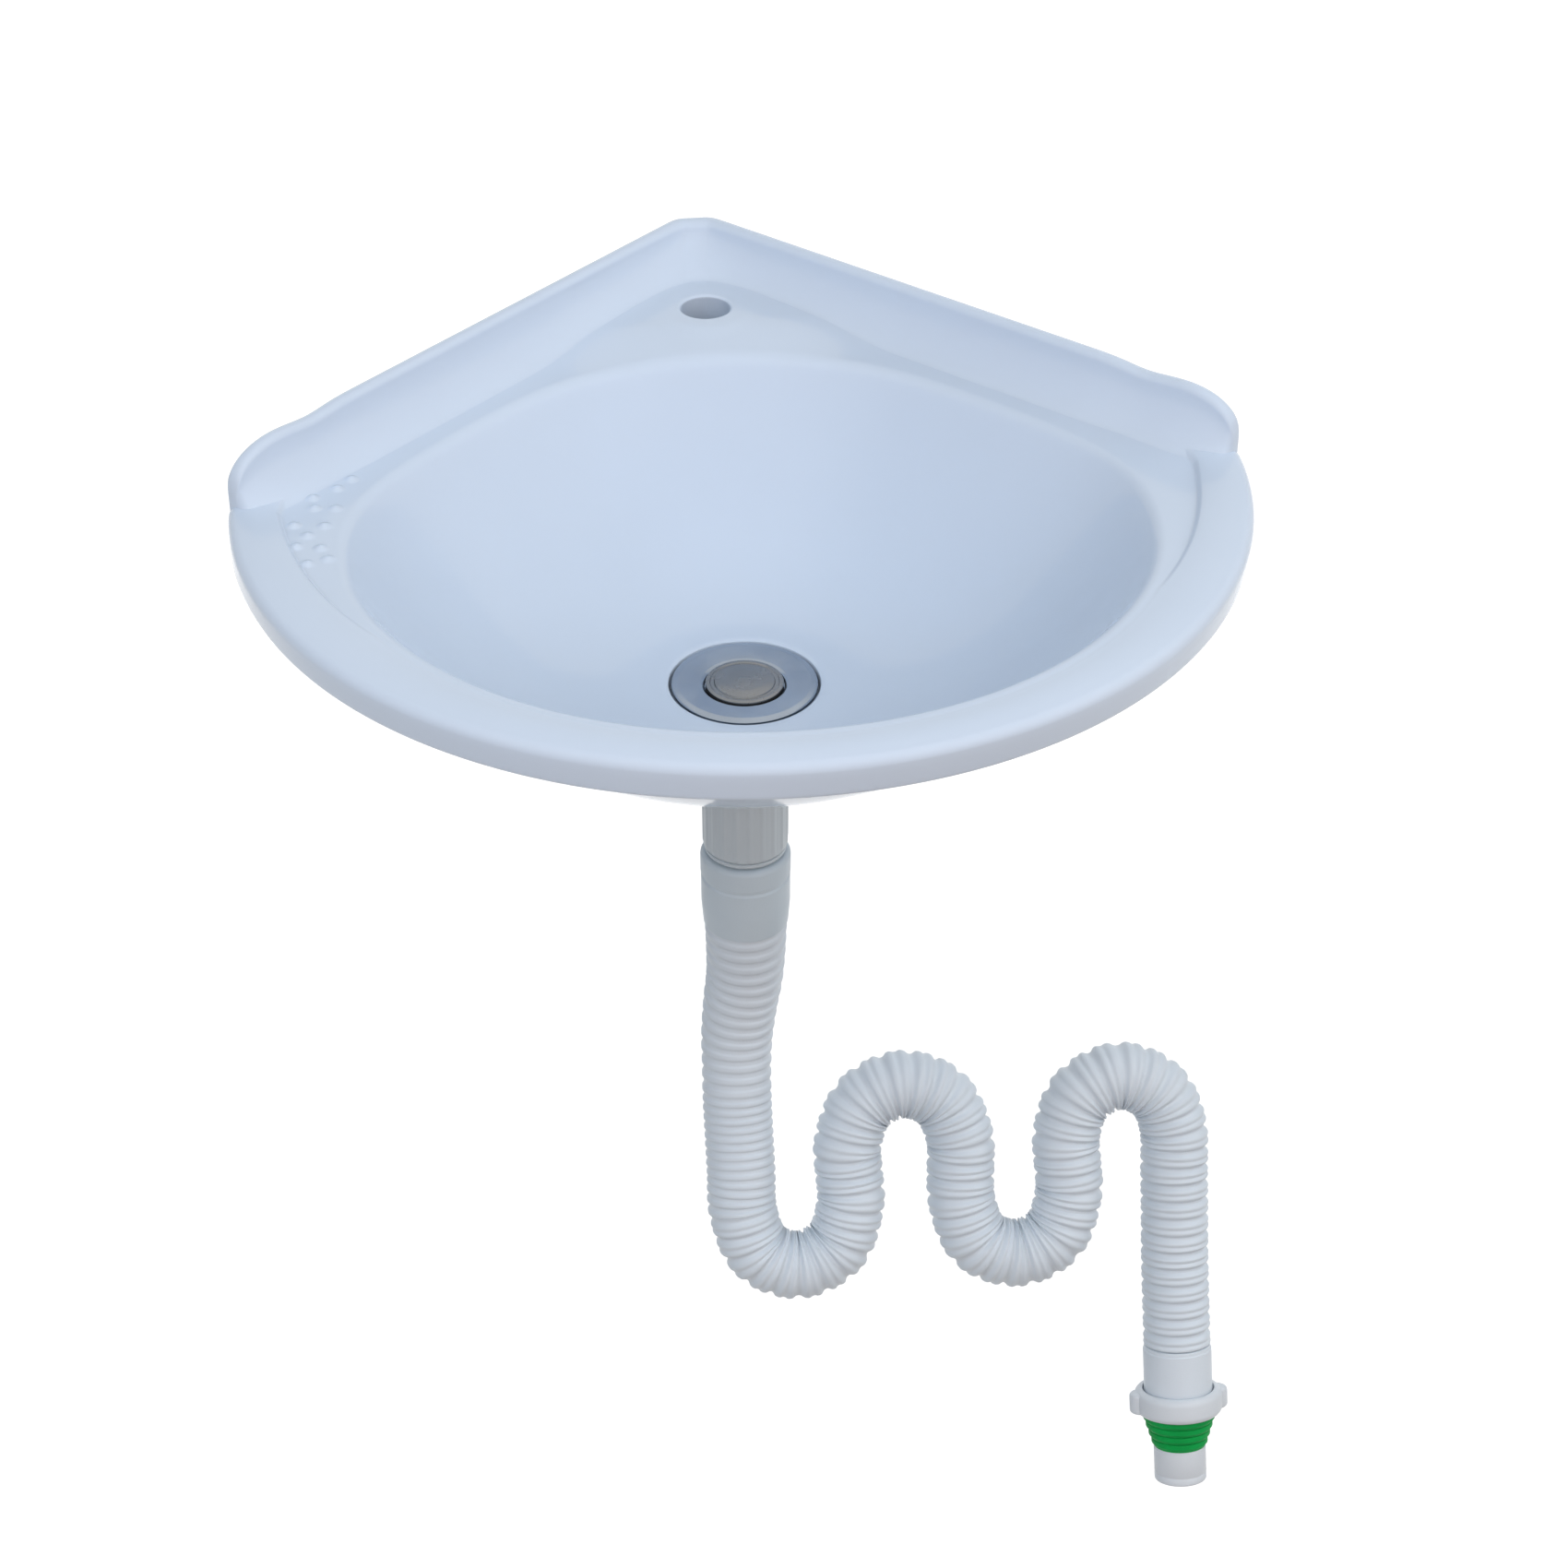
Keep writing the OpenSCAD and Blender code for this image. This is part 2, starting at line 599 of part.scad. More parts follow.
module click_spring() {
    wire_r = spring_wire_d / 2;
    coil_r = plunger_r - wire_r - 0.2;
    rise = spring_room - spring_wire_d - 0.2;
    ring_per_turn = 8;
    wire = [for (i = [0:spring_turns * ring_per_turn]) let (a = 360 * i / ring_per_turn)
        [coil_r * cos(a), coil_r * sin(a), wire_r + 0.1 + rise * i / (spring_turns * ring_per_turn)]];
    color(steel) at_waste(click_foot_z + click_wall)
        skin([for (i = [0:len(wire) - 1]) tube_ring(wire, i, wire_r, [0, 0, 1], 6)]);
}

module under_washer() {
    color(dark_rubber) at_waste(washer_z) ring(washer_d, 2 * run_r, rubber_washer_t);
}

module slip_washer() {
    color(white_plastic) at_waste(slip_z) ring(washer_d, 2 * run_r, slip_washer_t);
}

module back_nut() {
    color(white_plastic) at_waste(back_nut_z) difference() {
        union() {
            translate([0, 0, back_nut_t - 3]) cylinder(d = washer_d - 2, h = 3);
            cylinder(d = back_nut_af / cos(30), h = back_nut_t, $fn = 6);
        }
        translate([0, 0, -eps]) cylinder(r = run_r, h = back_nut_t + 2 * eps);
    }
}

module coupling_nut() {
    thread_room = coupling_h - coupling_lip;
    color(white_plastic) at_waste(coupling_z) difference() {
        union() {
            cylinder(d1 = coupling_d - 2, d2 = coupling_d, h = nut_taper_h);
            translate([0, 0, nut_taper_h - eps]) cylinder(d = coupling_d, h = coupling_h - nut_taper_h + eps);
            for (i = [0:grip_n - 1]) rotate([0, 0, 360 * i / grip_n])
                translate([coupling_d / 2 - 0.6, 0, grip_foot])
                    cylinder(d = grip_d, h = coupling_h - grip_foot - grip_top_gap, $fn = 24);
        }
        translate([0, 0, coupling_lip]) cylinder(r = run_r, h = thread_room + eps);
        translate([0, 0, -eps]) cylinder(d = cuff_neck_d + 2 * thread_gap, h = coupling_lip + 2 * eps);
    }
}

module coupling_washer() {
    color(dark_rubber) at_waste(coupling_washer_z) ring(thread_d - 0.4, waste_bore_d - 2, coupling_washer_t);
}

module hose_cuff() {
    bore_r = hose_bore_d / 2;
    bulge_r = cuff_bulge_d / 2;
    color(hose_grey) at_waste(0) rotate_extrude() polygon([[bore_r, coupling_washer_z],
        [thread_r - 0.2, coupling_washer_z], [thread_r - 0.2, cuff_flange_z], [cuff_neck_d / 2, cuff_flange_z],
        [cuff_neck_d / 2, bulge_z], [bulge_r - 2, bulge_z], [bulge_r, bulge_z - 4],
        [bulge_r, taper_z + 7], [bulge_r - 1, taper_z + 6], [bulge_r - 0.4, taper_z + 5],
        [bulge_r - 0.4, taper_z],
        [cuff_mouth_d / 2, exit_z], [bore_r, exit_z]]);
}

// The hose's centre line as short steps through the route's points
function through(p, i, t) =
    let (a = p[max(i - 1, 0)], b = p[i], c = p[i + 1], d = p[min(i + 2, len(p) - 1)])
    0.5 * (2 * b + (c - a) * t + (2 * a - 5 * b + 4 * c - d) * t * t + (3 * b - a - 3 * c + d) * t * t * t);
centre_line = concat(
    [for (i = [0:route_end - 1]) for (k = [0:route_fine - 1]) through(route, i, k / route_fine)],
    [route[route_end]]);
function run_lengths(p, i = 0, s = 0) = i == len(p) - 1 ? [s]
    : concat([s], run_lengths(p, i + 1, s + norm(p[i + 1] - p[i])));
line_at = run_lengths(centre_line);
hose_len = line_at[len(line_at) - 1];
echo(hose_length = hose_len);
function axis_table(k) = [for (i = [0:len(centre_line) - 1]) [line_at[i], centre_line[i][k]]];
x_table = axis_table(0);
y_table = axis_table(1);
z_table = axis_table(2);
function on_line(s) = [lookup(s, x_table), lookup(s, y_table), lookup(s, z_table)];

// Each rib is a groove and a crest, both level over a share of its pitch
leg_ribs = round(stretched_len / rib_pitch_leg);
bend_ribs = round((hose_len - stretched_len) / rib_pitch_bend);
rib_starts = concat([for (i = [0:leg_ribs - 1]) stretched_len * i / leg_ribs],
    [for (i = [0:bend_ribs - 1]) stretched_len + (hose_len - stretched_len) * i / bend_ribs]);
function rib_gap(s) = s < stretched_len ? stretched_len / leg_ribs : (hose_len - stretched_len) / bend_ribs;
function flare(s) = hose_flare / 2 * max(0, 1 - s / flare_len);
function crest_r(s) = hose_d / 2 + flare(s);
function rib_share(s) = min(1, max(0, 0.5 + (s - stretched_len) / rib_fade));
function groove_r(s) = crest_r(s) - mix(leg_rib_depth, rib_depth, rib_share(s));
hose_knots = concat(
    [for (s = rib_starts) let (gap = rib_gap(s), groove = groove_r(s), crest = crest_r(s)) each
        [[s, groove], [s + gap * rib_level, groove],
            [s + gap / 2, crest], [s + gap * (0.5 + rib_level), crest]]],
    [[hose_len, groove_r(hose_len)]]);
bore_n = round(hose_len / bore_step);
bore_knots = [for (i = [bore_n:-1:0]) [hose_len * i / bore_n, hose_bore_d / 2]];
hose_side = [0, cos(end_lean), -sin(end_lean)];
function hose_ring(knot) =
    let (s = knot[0], p = on_line(s),
        t = unit(on_line(min(s + 1.5, hose_len)) - on_line(max(s - 1.5, 0))),
        b = unit(hose_side - (hose_side * t) * t), a = cross(t, b))
    [for (k = [0:hose_sides - 1])
        p + knot[1] * (cos(360 * k / hose_sides) * a + sin(360 * k / hose_sides) * b)];

module waste_hose() {
    rings = [for (knot = concat(hose_knots, bore_knots)) hose_ring(knot)];
    n = hose_sides;
    m = len(rings);
    echo(hose_triangles = 2 * n * m);
    color(hose_grey) translate(exit_at) polyhedron(points = [for (r = rings) each r], convexity = 12,
        faces = [for (k = [0:m - 1]) for (i = [0:n - 1]) let (j = (i + 1) % n, q = (k + 1) % m) each
            [[k * n + i, k * n + j, q * n + i], [k * n + j, q * n + j, q * n + i]]]);
}

// What is on the hose's end stands on the hose's last straight run
module at_end(down) {
    translate(end_at) rotate([-end_lean, 0, 0]) translate([0, 0, -down]) children();
}

core_r = spigot_d / 2 - spigot_step;
collar_foot = collar_len + ring_nut_h - ring_nut_floor;
seal_top = collar_len + ring_nut_h;
spigot_foot = seal_top + seal_h + spigot_len;

module end_collar() {
    color(hose_grey) at_end(collar_foot) difference() {
        union() {
            cylinder(d = collar_d, h = collar_foot);
            cylinder(d = collar_d + 2 * collar_lip_w, h = collar_lip_h);
        }
        translate([0, 0, -eps]) cylinder(r = core_r, h = collar_foot - hose_stop + eps);
        cylinder(d = hose_bore_d, h = collar_foot + eps);
    }
}

module ring_nut() {
    r = ring_nut_d / 2;
    color(white_plastic) at_end(seal_top) difference() {
        union() {
            rotate_extrude() {
                translate([0, 0]) square([r - ring_nut_r, ring_nut_h]);
                translate([0, ring_nut_r]) square([r, ring_nut_h - 2 * ring_nut_r]);
                for (z = [ring_nut_r, ring_nut_h - ring_nut_r])
                    translate([r - ring_nut_r, z]) circle(r = ring_nut_r);
            }
            for (side = [-1, 1]) translate([side * (ear_span / 2 - ear_w / 2), 0, 1.5])
                cylinder(d = ear_w, h = ring_nut_h - 3);
        }
        translate([0, 0, ring_nut_floor]) cylinder(d = collar_d + 2 * spigot_gap, h = ring_nut_h);
        translate([0, 0, ring_nut_floor])
            cylinder(d = collar_d + 2 * (collar_lip_w + spigot_gap), h = collar_lip_h + spigot_gap);
        translate([0, 0, -eps]) cylinder(r = core_r + spigot_gap, h = ring_nut_h);
    }
}

module drain_seal() {
    step_h = seal_h / seal_steps;
    fall = (seal_top_d - seal_foot_d) / 2 / (seal_steps - 1);
    inner_r = core_r + spigot_gap;
    color(seal_green) at_end(seal_top + seal_h) rotate_extrude() polygon(concat(
        [[inner_r, 0]],
        [for (i = [0:seal_steps - 1]) let (r = seal_foot_d / 2 + fall * i) each
            [[r - 1, i * step_h + 0.01], [r, i * step_h + step_h * 0.45], [r, (i + 1) * step_h - 0.8],
                [r - 0.6, (i + 1) * step_h - 0.1]]],
        [[seal_top_d / 2 - 0.6, seal_h], [inner_r, seal_h]]));
}

module drain_spigot() {
    r = spigot_d / 2;
    color(white_plastic) at_end(spigot_foot) rotate_extrude() polygon([[r - spigot_wall, 0.6],
        [r - spigot_wall + 0.6, 0], [r - 1, 0], [r - 0.3, 0.7], [r, 2], [r, spigot_len - shoulder_gap],
        [core_r, spigot_len - shoulder_gap], [core_r, spigot_foot - hose_stop],
        [r - spigot_wall, spigot_foot - hose_stop]]);
}

basin();
waste_body();
flange_seal();
plug_cap();
plug_seal();
plug_stem();
click_plunger();
click_housing();
click_spring();
under_washer();
slip_washer();
back_nut();
coupling_nut();
coupling_washer();
hose_cuff();
waste_hose();
end_collar();
ring_nut();
drain_seal();
drain_spigot();
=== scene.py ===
"""Looks of a corner washbasin with a click waste and a ribbed waste hose."""
import math

import bmesh
import bpy
from mathutils import Matrix, Vector


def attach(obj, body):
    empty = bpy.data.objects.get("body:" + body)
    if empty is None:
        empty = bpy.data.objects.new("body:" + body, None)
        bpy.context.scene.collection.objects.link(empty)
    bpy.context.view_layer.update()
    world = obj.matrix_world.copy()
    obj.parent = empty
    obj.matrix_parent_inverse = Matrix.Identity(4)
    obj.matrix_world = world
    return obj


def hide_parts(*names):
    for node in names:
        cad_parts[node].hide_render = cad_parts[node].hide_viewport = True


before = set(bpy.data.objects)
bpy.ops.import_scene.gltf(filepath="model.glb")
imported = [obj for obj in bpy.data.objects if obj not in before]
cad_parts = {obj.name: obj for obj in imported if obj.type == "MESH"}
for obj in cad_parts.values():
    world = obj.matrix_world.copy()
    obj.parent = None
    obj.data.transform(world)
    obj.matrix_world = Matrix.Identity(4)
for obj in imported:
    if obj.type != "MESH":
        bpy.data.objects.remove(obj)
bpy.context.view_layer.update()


def mix(a, b, t):
    return a + (b - a) * t


def smooth(low, high, value):
    t = min(1, max(0, (value - low) / (high - low)))
    return t * t * (3 - 2 * t)


MM = 0.001
TURN = 2 * math.pi

# Basin, in millimetres, as in the source
SIDE_LEN = 406
FRONT_REACH = 578
APEX_HALF = 12
CHINA_T = 12
UPSTAND_H = 32
LOBE_LEN = 40
LOBE_FULL = 2.4
NOTCH_Z = 7
LEDGE_W = 9
COVE_W = 27
APRON_H = 22
APRON_DRAFT = 1.6
SKIRT_H = 125
EDGE_R = 6
CROWN_H = 1
BAND_SIDE_W = 26
BAND_FRONT_W = 36
BAND_TAPER = 0.7
STEP_W = 3.5
SHELF_Z = -3
DECK_RISE = 7
BOWL_BACK = 142
BOWL_HALF_W = 221
BOWL_WALL_GAP = 43
LIP_R = 9
BOWL_FULL = 2.2
BOWL_Z = -131
TAP_BACK = 84
TAP_HOLE_R = 15
TAP_LAND_R = 27
TAP_LAND_Z = 4.5
WASTE_BACK = 299
OUTLET_R = 23
SEAT_Z = -139
BOSS_Z = -165
BOSS_TOP_Z = -153
BOSS_R = 38
BOSS_FLARE = 6
RECESS_R = 44.5
FLOOR_R = 49.5
FAR = 1e5
ROOT2 = math.sqrt(2)

# The front of the rim is one arc through the ends of both walls
WALL_END = SIDE_LEN / ROOT2
BULGE = FRONT_REACH - WALL_END
RIM_R = (WALL_END ** 2 + BULGE ** 2) / (2 * BULGE)
RIM_BACK = FRONT_REACH - RIM_R
LOBE_START = SIDE_LEN - LOBE_LEN
BOWL_FRONT = FRONT_REACH - BAND_FRONT_W
BOWL_HALF_L = (BOWL_FRONT - BOWL_BACK) / 2
POLE_SHIFT = (BOWL_FRONT + BOWL_BACK) / 2 - WASTE_BACK

# Waste, plug and couplings
THREAD_R = 20.9
THREAD_H = 1.2
THREAD_PITCH = 2.3
WASTE_LEN = 106
WASTE_BORE_R = 17
FLANGE_R = 43
FLANGE_T = 6
PLUG_R = 23
POCKET_R = 23.8
POCKET_DOWN = 3.9
BACK_NUT_Z = -183
CUFF_TOP_Z = -240.5
CUFF_FLANGE_Z = -244
COUPLING_Z = -250
COUPLING_TOP_Z = -200
COUPLING_LIP = 6
COUPLING_R = 25.5
GRIP_N = 20
BULGE_Z = -251.5
BULGE_R = 27.5
TAPER_Z = -288.5
MOUTH_R = 26
CUFF_EXIT_Z = -304.5

# Hose and what is on its end
EXIT = Vector((0, -WASTE_BACK, CUFF_EXIT_Z))
HOSE_R = 22
HOSE_BORE_R = 15.5
RIB_DEPTH = 2.6
LEG_RIB_DEPTH = 1
RIB_FADE = 40
RIB_LEVEL = 0.28
LEG_TOP_LEN = 127
LEG_TOP_PITCH = 9
LEG_FOOT_PITCH = 6
RIB_PITCH_BEND = 11.25
STRETCHED_LEN = 205
HOSE_FLARE = 3.5
FLARE_LEN = 110

# Share of the pitch and height of the points of one rib, from groove (0) to crest (1)
SINGLE_RIB = [(0, 0), (RIB_LEVEL / 2, 0), (RIB_LEVEL, 0.02), (mix(RIB_LEVEL, 0.5, 0.3), 0.2),
              (mix(RIB_LEVEL, 0.5, 0.7), 0.8), (0.5, 0.98), (0.5 + RIB_LEVEL / 2, 1), (0.5 + RIB_LEVEL, 0.98),
              (mix(0.5 + RIB_LEVEL, 1, 0.3), 0.8), (mix(0.5 + RIB_LEVEL, 1, 0.7), 0.2)]
DOUBLE_RIB = [(0, 0.3), (0.05, 0.06), (0.12, 0), (0.19, 0.06), (0.26, 0.38), (0.33, 0.8), (0.42, 0.97),
              (0.5, 0.9), (0.56, 0.68), (0.62, 0.6), (0.68, 0.68), (0.74, 0.9), (0.82, 0.97), (0.91, 0.8)]

# Centre line of the hose from its exit
ROUTE = [(0, 0, 0), (-0.1, 0, -22), (-1, 0, -44), (-4, -1, -66), (-6.4, -4, -88), (-7.4, -10, -109),
    (-8, -18, -129), (-8, -28, -151), (-8, -39, -173), (-8, -50, -196.5), (1.5, -61, -221.5),
    (26, -66, -231.5), (51, -61, -221.5), (61, -50, -196.5), (61, -41, -178.5), (61, -33, -160.5),
    (72, -22, -138), (97, -18, -128), (122, -22, -138), (133, -33, -160.5), (133, -42, -180.5),
    (133, -52, -201.5), (143, -63, -225.5), (168, -67, -235.5), (192.5, -63, -225.5), (202.5, -52, -201.5),
    (202.5, -44, -183.5), (202.5, -35, -164.5), (212.5, -25, -143), (237.5, -20, -133), (262, -25, -143),
    (272, -35, -164.5), (272, -48, -192.5), (271.5, -61, -220.5), (271, -73.5, -249), (271, -96.5, -299)]
END_LEAN = math.atan2(23, 50)

# Camera of the photograph, which is 1700 pixels square
PHOTO_PX = 1700
FOCAL_PX = 3500
SENSOR = 36
CAMERA_AT = (-168.5, -1873.1, 898.3)
CAMERA_YAW = math.radians(-6.95)
CAMERA_PITCH = math.radians(34.86)
CAMERA_ROLL = math.radians(0.19)
CLIP_END = 60


def add_camera():
    data = bpy.data.cameras.new("camera")
    data.sensor_width = SENSOR
    data.lens = FOCAL_PX / PHOTO_PX * SENSOR
    data.clip_end = CLIP_END
    camera = bpy.data.objects.new("camera", data)
    bpy.context.scene.collection.objects.link(camera)
    ahead = Vector((-math.sin(CAMERA_YAW) * math.cos(CAMERA_PITCH),
                    math.cos(CAMERA_YAW) * math.cos(CAMERA_PITCH), -math.sin(CAMERA_PITCH)))
    right = Vector((math.cos(CAMERA_YAW), math.sin(CAMERA_YAW), 0))
    up = right.cross(ahead)
    c = math.cos(CAMERA_ROLL)
    s = math.sin(CAMERA_ROLL)
    rolled_right = c * right + s * up
    rolled_up = c * up - s * right
    turn = Matrix((rolled_right, rolled_up, -ahead)).transposed().to_4x4()
    camera.matrix_world = Matrix.Translation(Vector(CAMERA_AT) * MM) @ turn
    bpy.context.scene.camera = camera


# Materials

# Almost all of a noise lies between these two values
NOISE_LOW = 0.3
NOISE_HIGH = 0.7
GLOSS_FINER = 4
GRAIN_DETAIL = 2


def noise(tree, coords, scale, detail=3.0):
    node = tree.nodes.new("ShaderNodeTexNoise")
    node.inputs["Scale"].default_value = scale
    node.inputs["Detail"].default_value = detail
    tree.links.new(coords, node.inputs["Vector"])
    return node.outputs["Fac"]


def spread(tree, source, low, high):
    node = tree.nodes.new("ShaderNodeMapRange")
    node.inputs["From Min"].default_value = NOISE_LOW
    node.inputs["From Max"].default_value = NOISE_HIGH
    node.inputs["To Min"].default_value = low
    node.inputs["To Max"].default_value = high
    tree.links.new(source, node.inputs["Value"])
    return node.outputs["Result"]


def material(name, dark, light, roughness, tone_scale=14, grain_scale=900, grain=0.02, metallic=0.0,
             specular=0.5):
    """A surface whose colour drifts between two tones, with uneven gloss and a fine grain."""
    made = bpy.data.materials.new(name)
    made.use_nodes = True
    tree = made.node_tree
    surface = tree.nodes["Principled BSDF"]
    coords = tree.nodes.new("ShaderNodeTexCoord").outputs["Object"]
    tone = tree.nodes.new("ShaderNodeMix")
    tone.data_type = "RGBA"
    tone.inputs["A"].default_value = (*dark, 1)
    tone.inputs["B"].default_value = (*light, 1)
    tree.links.new(spread(tree, noise(tree, coords, tone_scale), 0, 1), tone.inputs["Factor"])
    tree.links.new(tone.outputs["Result"], surface.inputs["Base Color"])
    gloss = spread(tree, noise(tree, coords, tone_scale * GLOSS_FINER), *roughness)
    tree.links.new(gloss, surface.inputs["Roughness"])
    bump = tree.nodes.new("ShaderNodeBump")
    bump.inputs["Strength"].default_value = grain
    bump.inputs["Distance"].default_value = MM
    tree.links.new(noise(tree, coords, grain_scale, GRAIN_DETAIL), bump.inputs["Height"])
    tree.links.new(bump.outputs["Normal"], surface.inputs["Normal"])
    surface.inputs["Metallic"].default_value = metallic
    surface.inputs["Specular IOR Level"].default_value = specular
    return made


GLAZE = material("glazed_china", (0.555, 0.636, 0.752), (0.580, 0.661, 0.776), (0.07, 0.12), tone_scale=5,
                 grain_scale=60, grain=0.03)
# Painted shade for the inside of the tap hole: darker than the glaze, and matt
TAP_HOLE_SHADE = material("tap_hole_painted_shade", (0.40, 0.46, 0.55), (0.45, 0.51, 0.60), (0.6, 0.8), tone_scale=40,
                      grain=0.2)
CHROME = material("chrome_metal", (0.30, 0.345, 0.405), (0.38, 0.43, 0.49), (0.16, 0.26), tone_scale=22,
                  metallic=1.0)
PLUG_METAL = material("plug_metal", (0.21, 0.225, 0.24), (0.28, 0.28, 0.28), (0.22, 0.30), tone_scale=24,
                      grain=0.01, metallic=1.0)
SPRING_STEEL = material("spring_steel", (0.42, 0.42, 0.43), (0.55, 0.55, 0.56), (0.24, 0.34), metallic=1.0)
WHITE_PLASTIC = material("white_plastic", (0.62, 0.66, 0.70), (0.67, 0.71, 0.76), (0.30, 0.42), tone_scale=18,
                         grain=0.06)
# Darker copy of the grey plastic for the coupling nut: painted shade for the basin's shadow that falls on it
SHADED_NUT_PLASTIC = material("nut_plastic_painted_shade", (0.49, 0.55, 0.59), (0.54, 0.60, 0.64), (0.30, 0.42),
                       tone_scale=18, grain=0.06)
# Darker copy of the hose plastic for the cuff: painted shade that sets the cuff off from the hose below it
SHADED_CUFF_PLASTIC = material("cuff_plastic_painted_shade", (0.51, 0.59, 0.65), (0.55, 0.63, 0.69), (0.30, 0.42),
                        tone_scale=18, grain=0.06)
HOSE_PLASTIC = material("hose_plastic", (0.61, 0.67, 0.73), (0.66, 0.72, 0.78), (0.32, 0.46), tone_scale=12,
                        grain=0.08)
GREEN_RUBBER = material("green_rubber", (0.002, 0.26, 0.05), (0.005, 0.36, 0.072), (0.45, 0.60),
                        tone_scale=40, grain=0.12, specular=0.12)
DARK_RUBBER = material("dark_rubber", (0.022, 0.022, 0.025), (0.035, 0.035, 0.038), (0.55, 0.72), grain=0.15)


# Mesh helpers

MERGE_DIST = 1e-7
# Radius in place of zero at the axis of a turned piece
CORE_R = 0.02
TOOL_CORE_R = 0.01


def add_object(name, points, faces):
    """A closed solid from points in millimetres, with its faces turned outward."""
    mesh = bpy.data.meshes.new(name)
    mesh.from_pydata([Vector(p) * MM for p in points], [], faces)
    shape = bmesh.new()
    shape.from_mesh(mesh)
    bmesh.ops.recalc_face_normals(shape, faces=shape.faces)
    shape.to_mesh(mesh)
    shape.free()
    made = bpy.data.objects.new(name, mesh)
    bpy.context.scene.collection.objects.link(made)
    return made


def skin_faces(ring_count, ring_size, closed):
    """Quads between rings of equal size; closed joins the last ring to the first, else both get a cap."""
    faces = []
    spans = ring_count if closed else ring_count - 1
    for k in range(spans):
        base = k * ring_size
        after = (k + 1) % ring_count * ring_size
        for i in range(ring_size):
            j = (i + 1) % ring_size
            faces.append((base + i, base + j, after + j, after + i))
    if not closed:
        faces.append(tuple(range(ring_size - 1, -1, -1)))
        faces.append(tuple(range((ring_count - 1) * ring_size, ring_count * ring_size)))
    return faces


def rounded(corners, steps=4):
    """Points of a closed outline whose corners, given as (x, y, radius), are rounded off."""
    points = []
    count = len(corners)
    for i, (x, y, radius) in enumerate(corners):
        here = Vector((x, y))
        if radius <= 0:
            points.append((x, y))
            continue
        back = (Vector(corners[i - 1][:2]) - here).normalized()
        ahead = (Vector(corners[(i + 1) % count][:2]) - here).normalized()
        half = back.angle(ahead) / 2
        reach = radius / math.tan(half)
        centre = here + (back + ahead).normalized() * (radius / math.sin(half))
        start = here + back * reach - centre
        end = here + ahead * reach - centre
        opening = start.angle_signed(end)
        for k in range(steps + 1):
            turned = Matrix.Rotation(-opening * k / steps, 2) @ start
            points.append(tuple(centre + turned))
    return points


def lathe(name, outline, place, segments=96, shift=None):
    """A ring-shaped or solid turned piece; shift(angle, r, z) may move the radius of a point."""
    points = []
    size = len(outline)
    for k in range(segments):
        angle = TURN * k / segments
        for r, z in outline:
            moved = r if shift is None else shift(angle, r, z)
            points.append(place @ Vector((moved * math.cos(angle), moved * math.sin(angle), z)))
    made = add_object(name, points, skin_faces(segments, size, True))
    shape = bmesh.new()
    shape.from_mesh(made.data)
    bmesh.ops.remove_doubles(shape, verts=shape.verts, dist=MERGE_DIST)
    bmesh.ops.recalc_face_normals(shape, faces=shape.faces)
    shape.to_mesh(made.data)
    shape.free()
    return made


def combine(target, tool, operation):
    """Adds the tool to the target or cuts it away, and removes the tool."""
    for solver in ("MANIFOLD", "EXACT"):
        modifier = target.modifiers.new("combine", "BOOLEAN")
        modifier.operation = operation
        modifier.object = tool
        modifier.solver = solver
        scene_state = bpy.context.evaluated_depsgraph_get()
        mesh = bpy.data.meshes.new_from_object(target.evaluated_get(scene_state))
        target.modifiers.clear()
        if len(mesh.polygons) > 0:
            break
    target.data = mesh
    bpy.data.objects.remove(tool)


def finish_piece(made, surface, body, nodes, sharp=35):
    """Shades a piece, gives it its material, hangs it on the empty of what carries it and hides the CAD nodes
    it stands for.
    """
    made.data.materials.clear()
    made.data.materials.append(surface)
    made.data.shade_smooth()
    made.data.set_sharp_from_angle(angle=math.radians(sharp))
    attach(made, body)
    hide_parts(*nodes)
    return made


def at_waste(z):
    return Matrix.Translation((0, -WASTE_BACK, z))


def at_end(down):
    """The hose's end: the axis leans, and its positive direction points back up the hose."""
    end = EXIT + Vector(ROUTE[-1])
    lean = Matrix.Rotation(-END_LEAN, 4, "X")
    return Matrix.Translation(end) @ lean @ Matrix.Translation((0, 0, -down))


# Waste hose

def through(i, t):
    """Point at share t of the way from route point i to the next, on a smooth curve through all of them."""
    a = Vector(ROUTE[max(i - 1, 0)])
    b = Vector(ROUTE[i])
    c = Vector(ROUTE[i + 1])
    d = Vector(ROUTE[min(i + 2, len(ROUTE) - 1)])
    return 0.5 * (2 * b + (c - a) * t + (2 * a - 5 * b + 4 * c - d) * t ** 2
                  + (3 * b - a - 3 * c + d) * t ** 3)


def hose_line():
    """Points of the centre line and their distances along it."""
    fine = 10
    points = [through(i, k / fine) for i in range(len(ROUTE) - 1) for k in range(fine)]
    points.append(Vector(ROUTE[-1]))
    lengths = [0.0]
    for before, after in zip(points, points[1:]):
        lengths.append(lengths[-1] + (after - before).length)
    return points, lengths


LINE, LINE_AT = hose_line()
HOSE_LEN = LINE_AT[-1]


def on_line(s):
    """Point of the centre line at distance s along it."""
    low = 0
    high = len(LINE_AT) - 1
    while high - low > 1:
        middle = (low + high) // 2
        if LINE_AT[middle] <= s:
            low = middle
        else:
            high = middle
    share = (s - LINE_AT[low]) / (LINE_AT[high] - LINE_AT[low])
    return LINE[low].lerp(LINE[high], share)


def rib_starts():
    """Start and pitch of every rib: wide at the leg's top, closer at its foot, double in the bends."""
    ribs = []
    spans = [(0, LEG_TOP_LEN, LEG_TOP_PITCH), (LEG_TOP_LEN, STRETCHED_LEN, LEG_FOOT_PITCH),
             (STRETCHED_LEN, HOSE_LEN, RIB_PITCH_BEND)]
    for start, end, pitch in spans:
        count = round((end - start) / pitch)
        gap = (end - start) / count
        ribs += [(start + gap * i, gap) for i in range(count)]
    return ribs


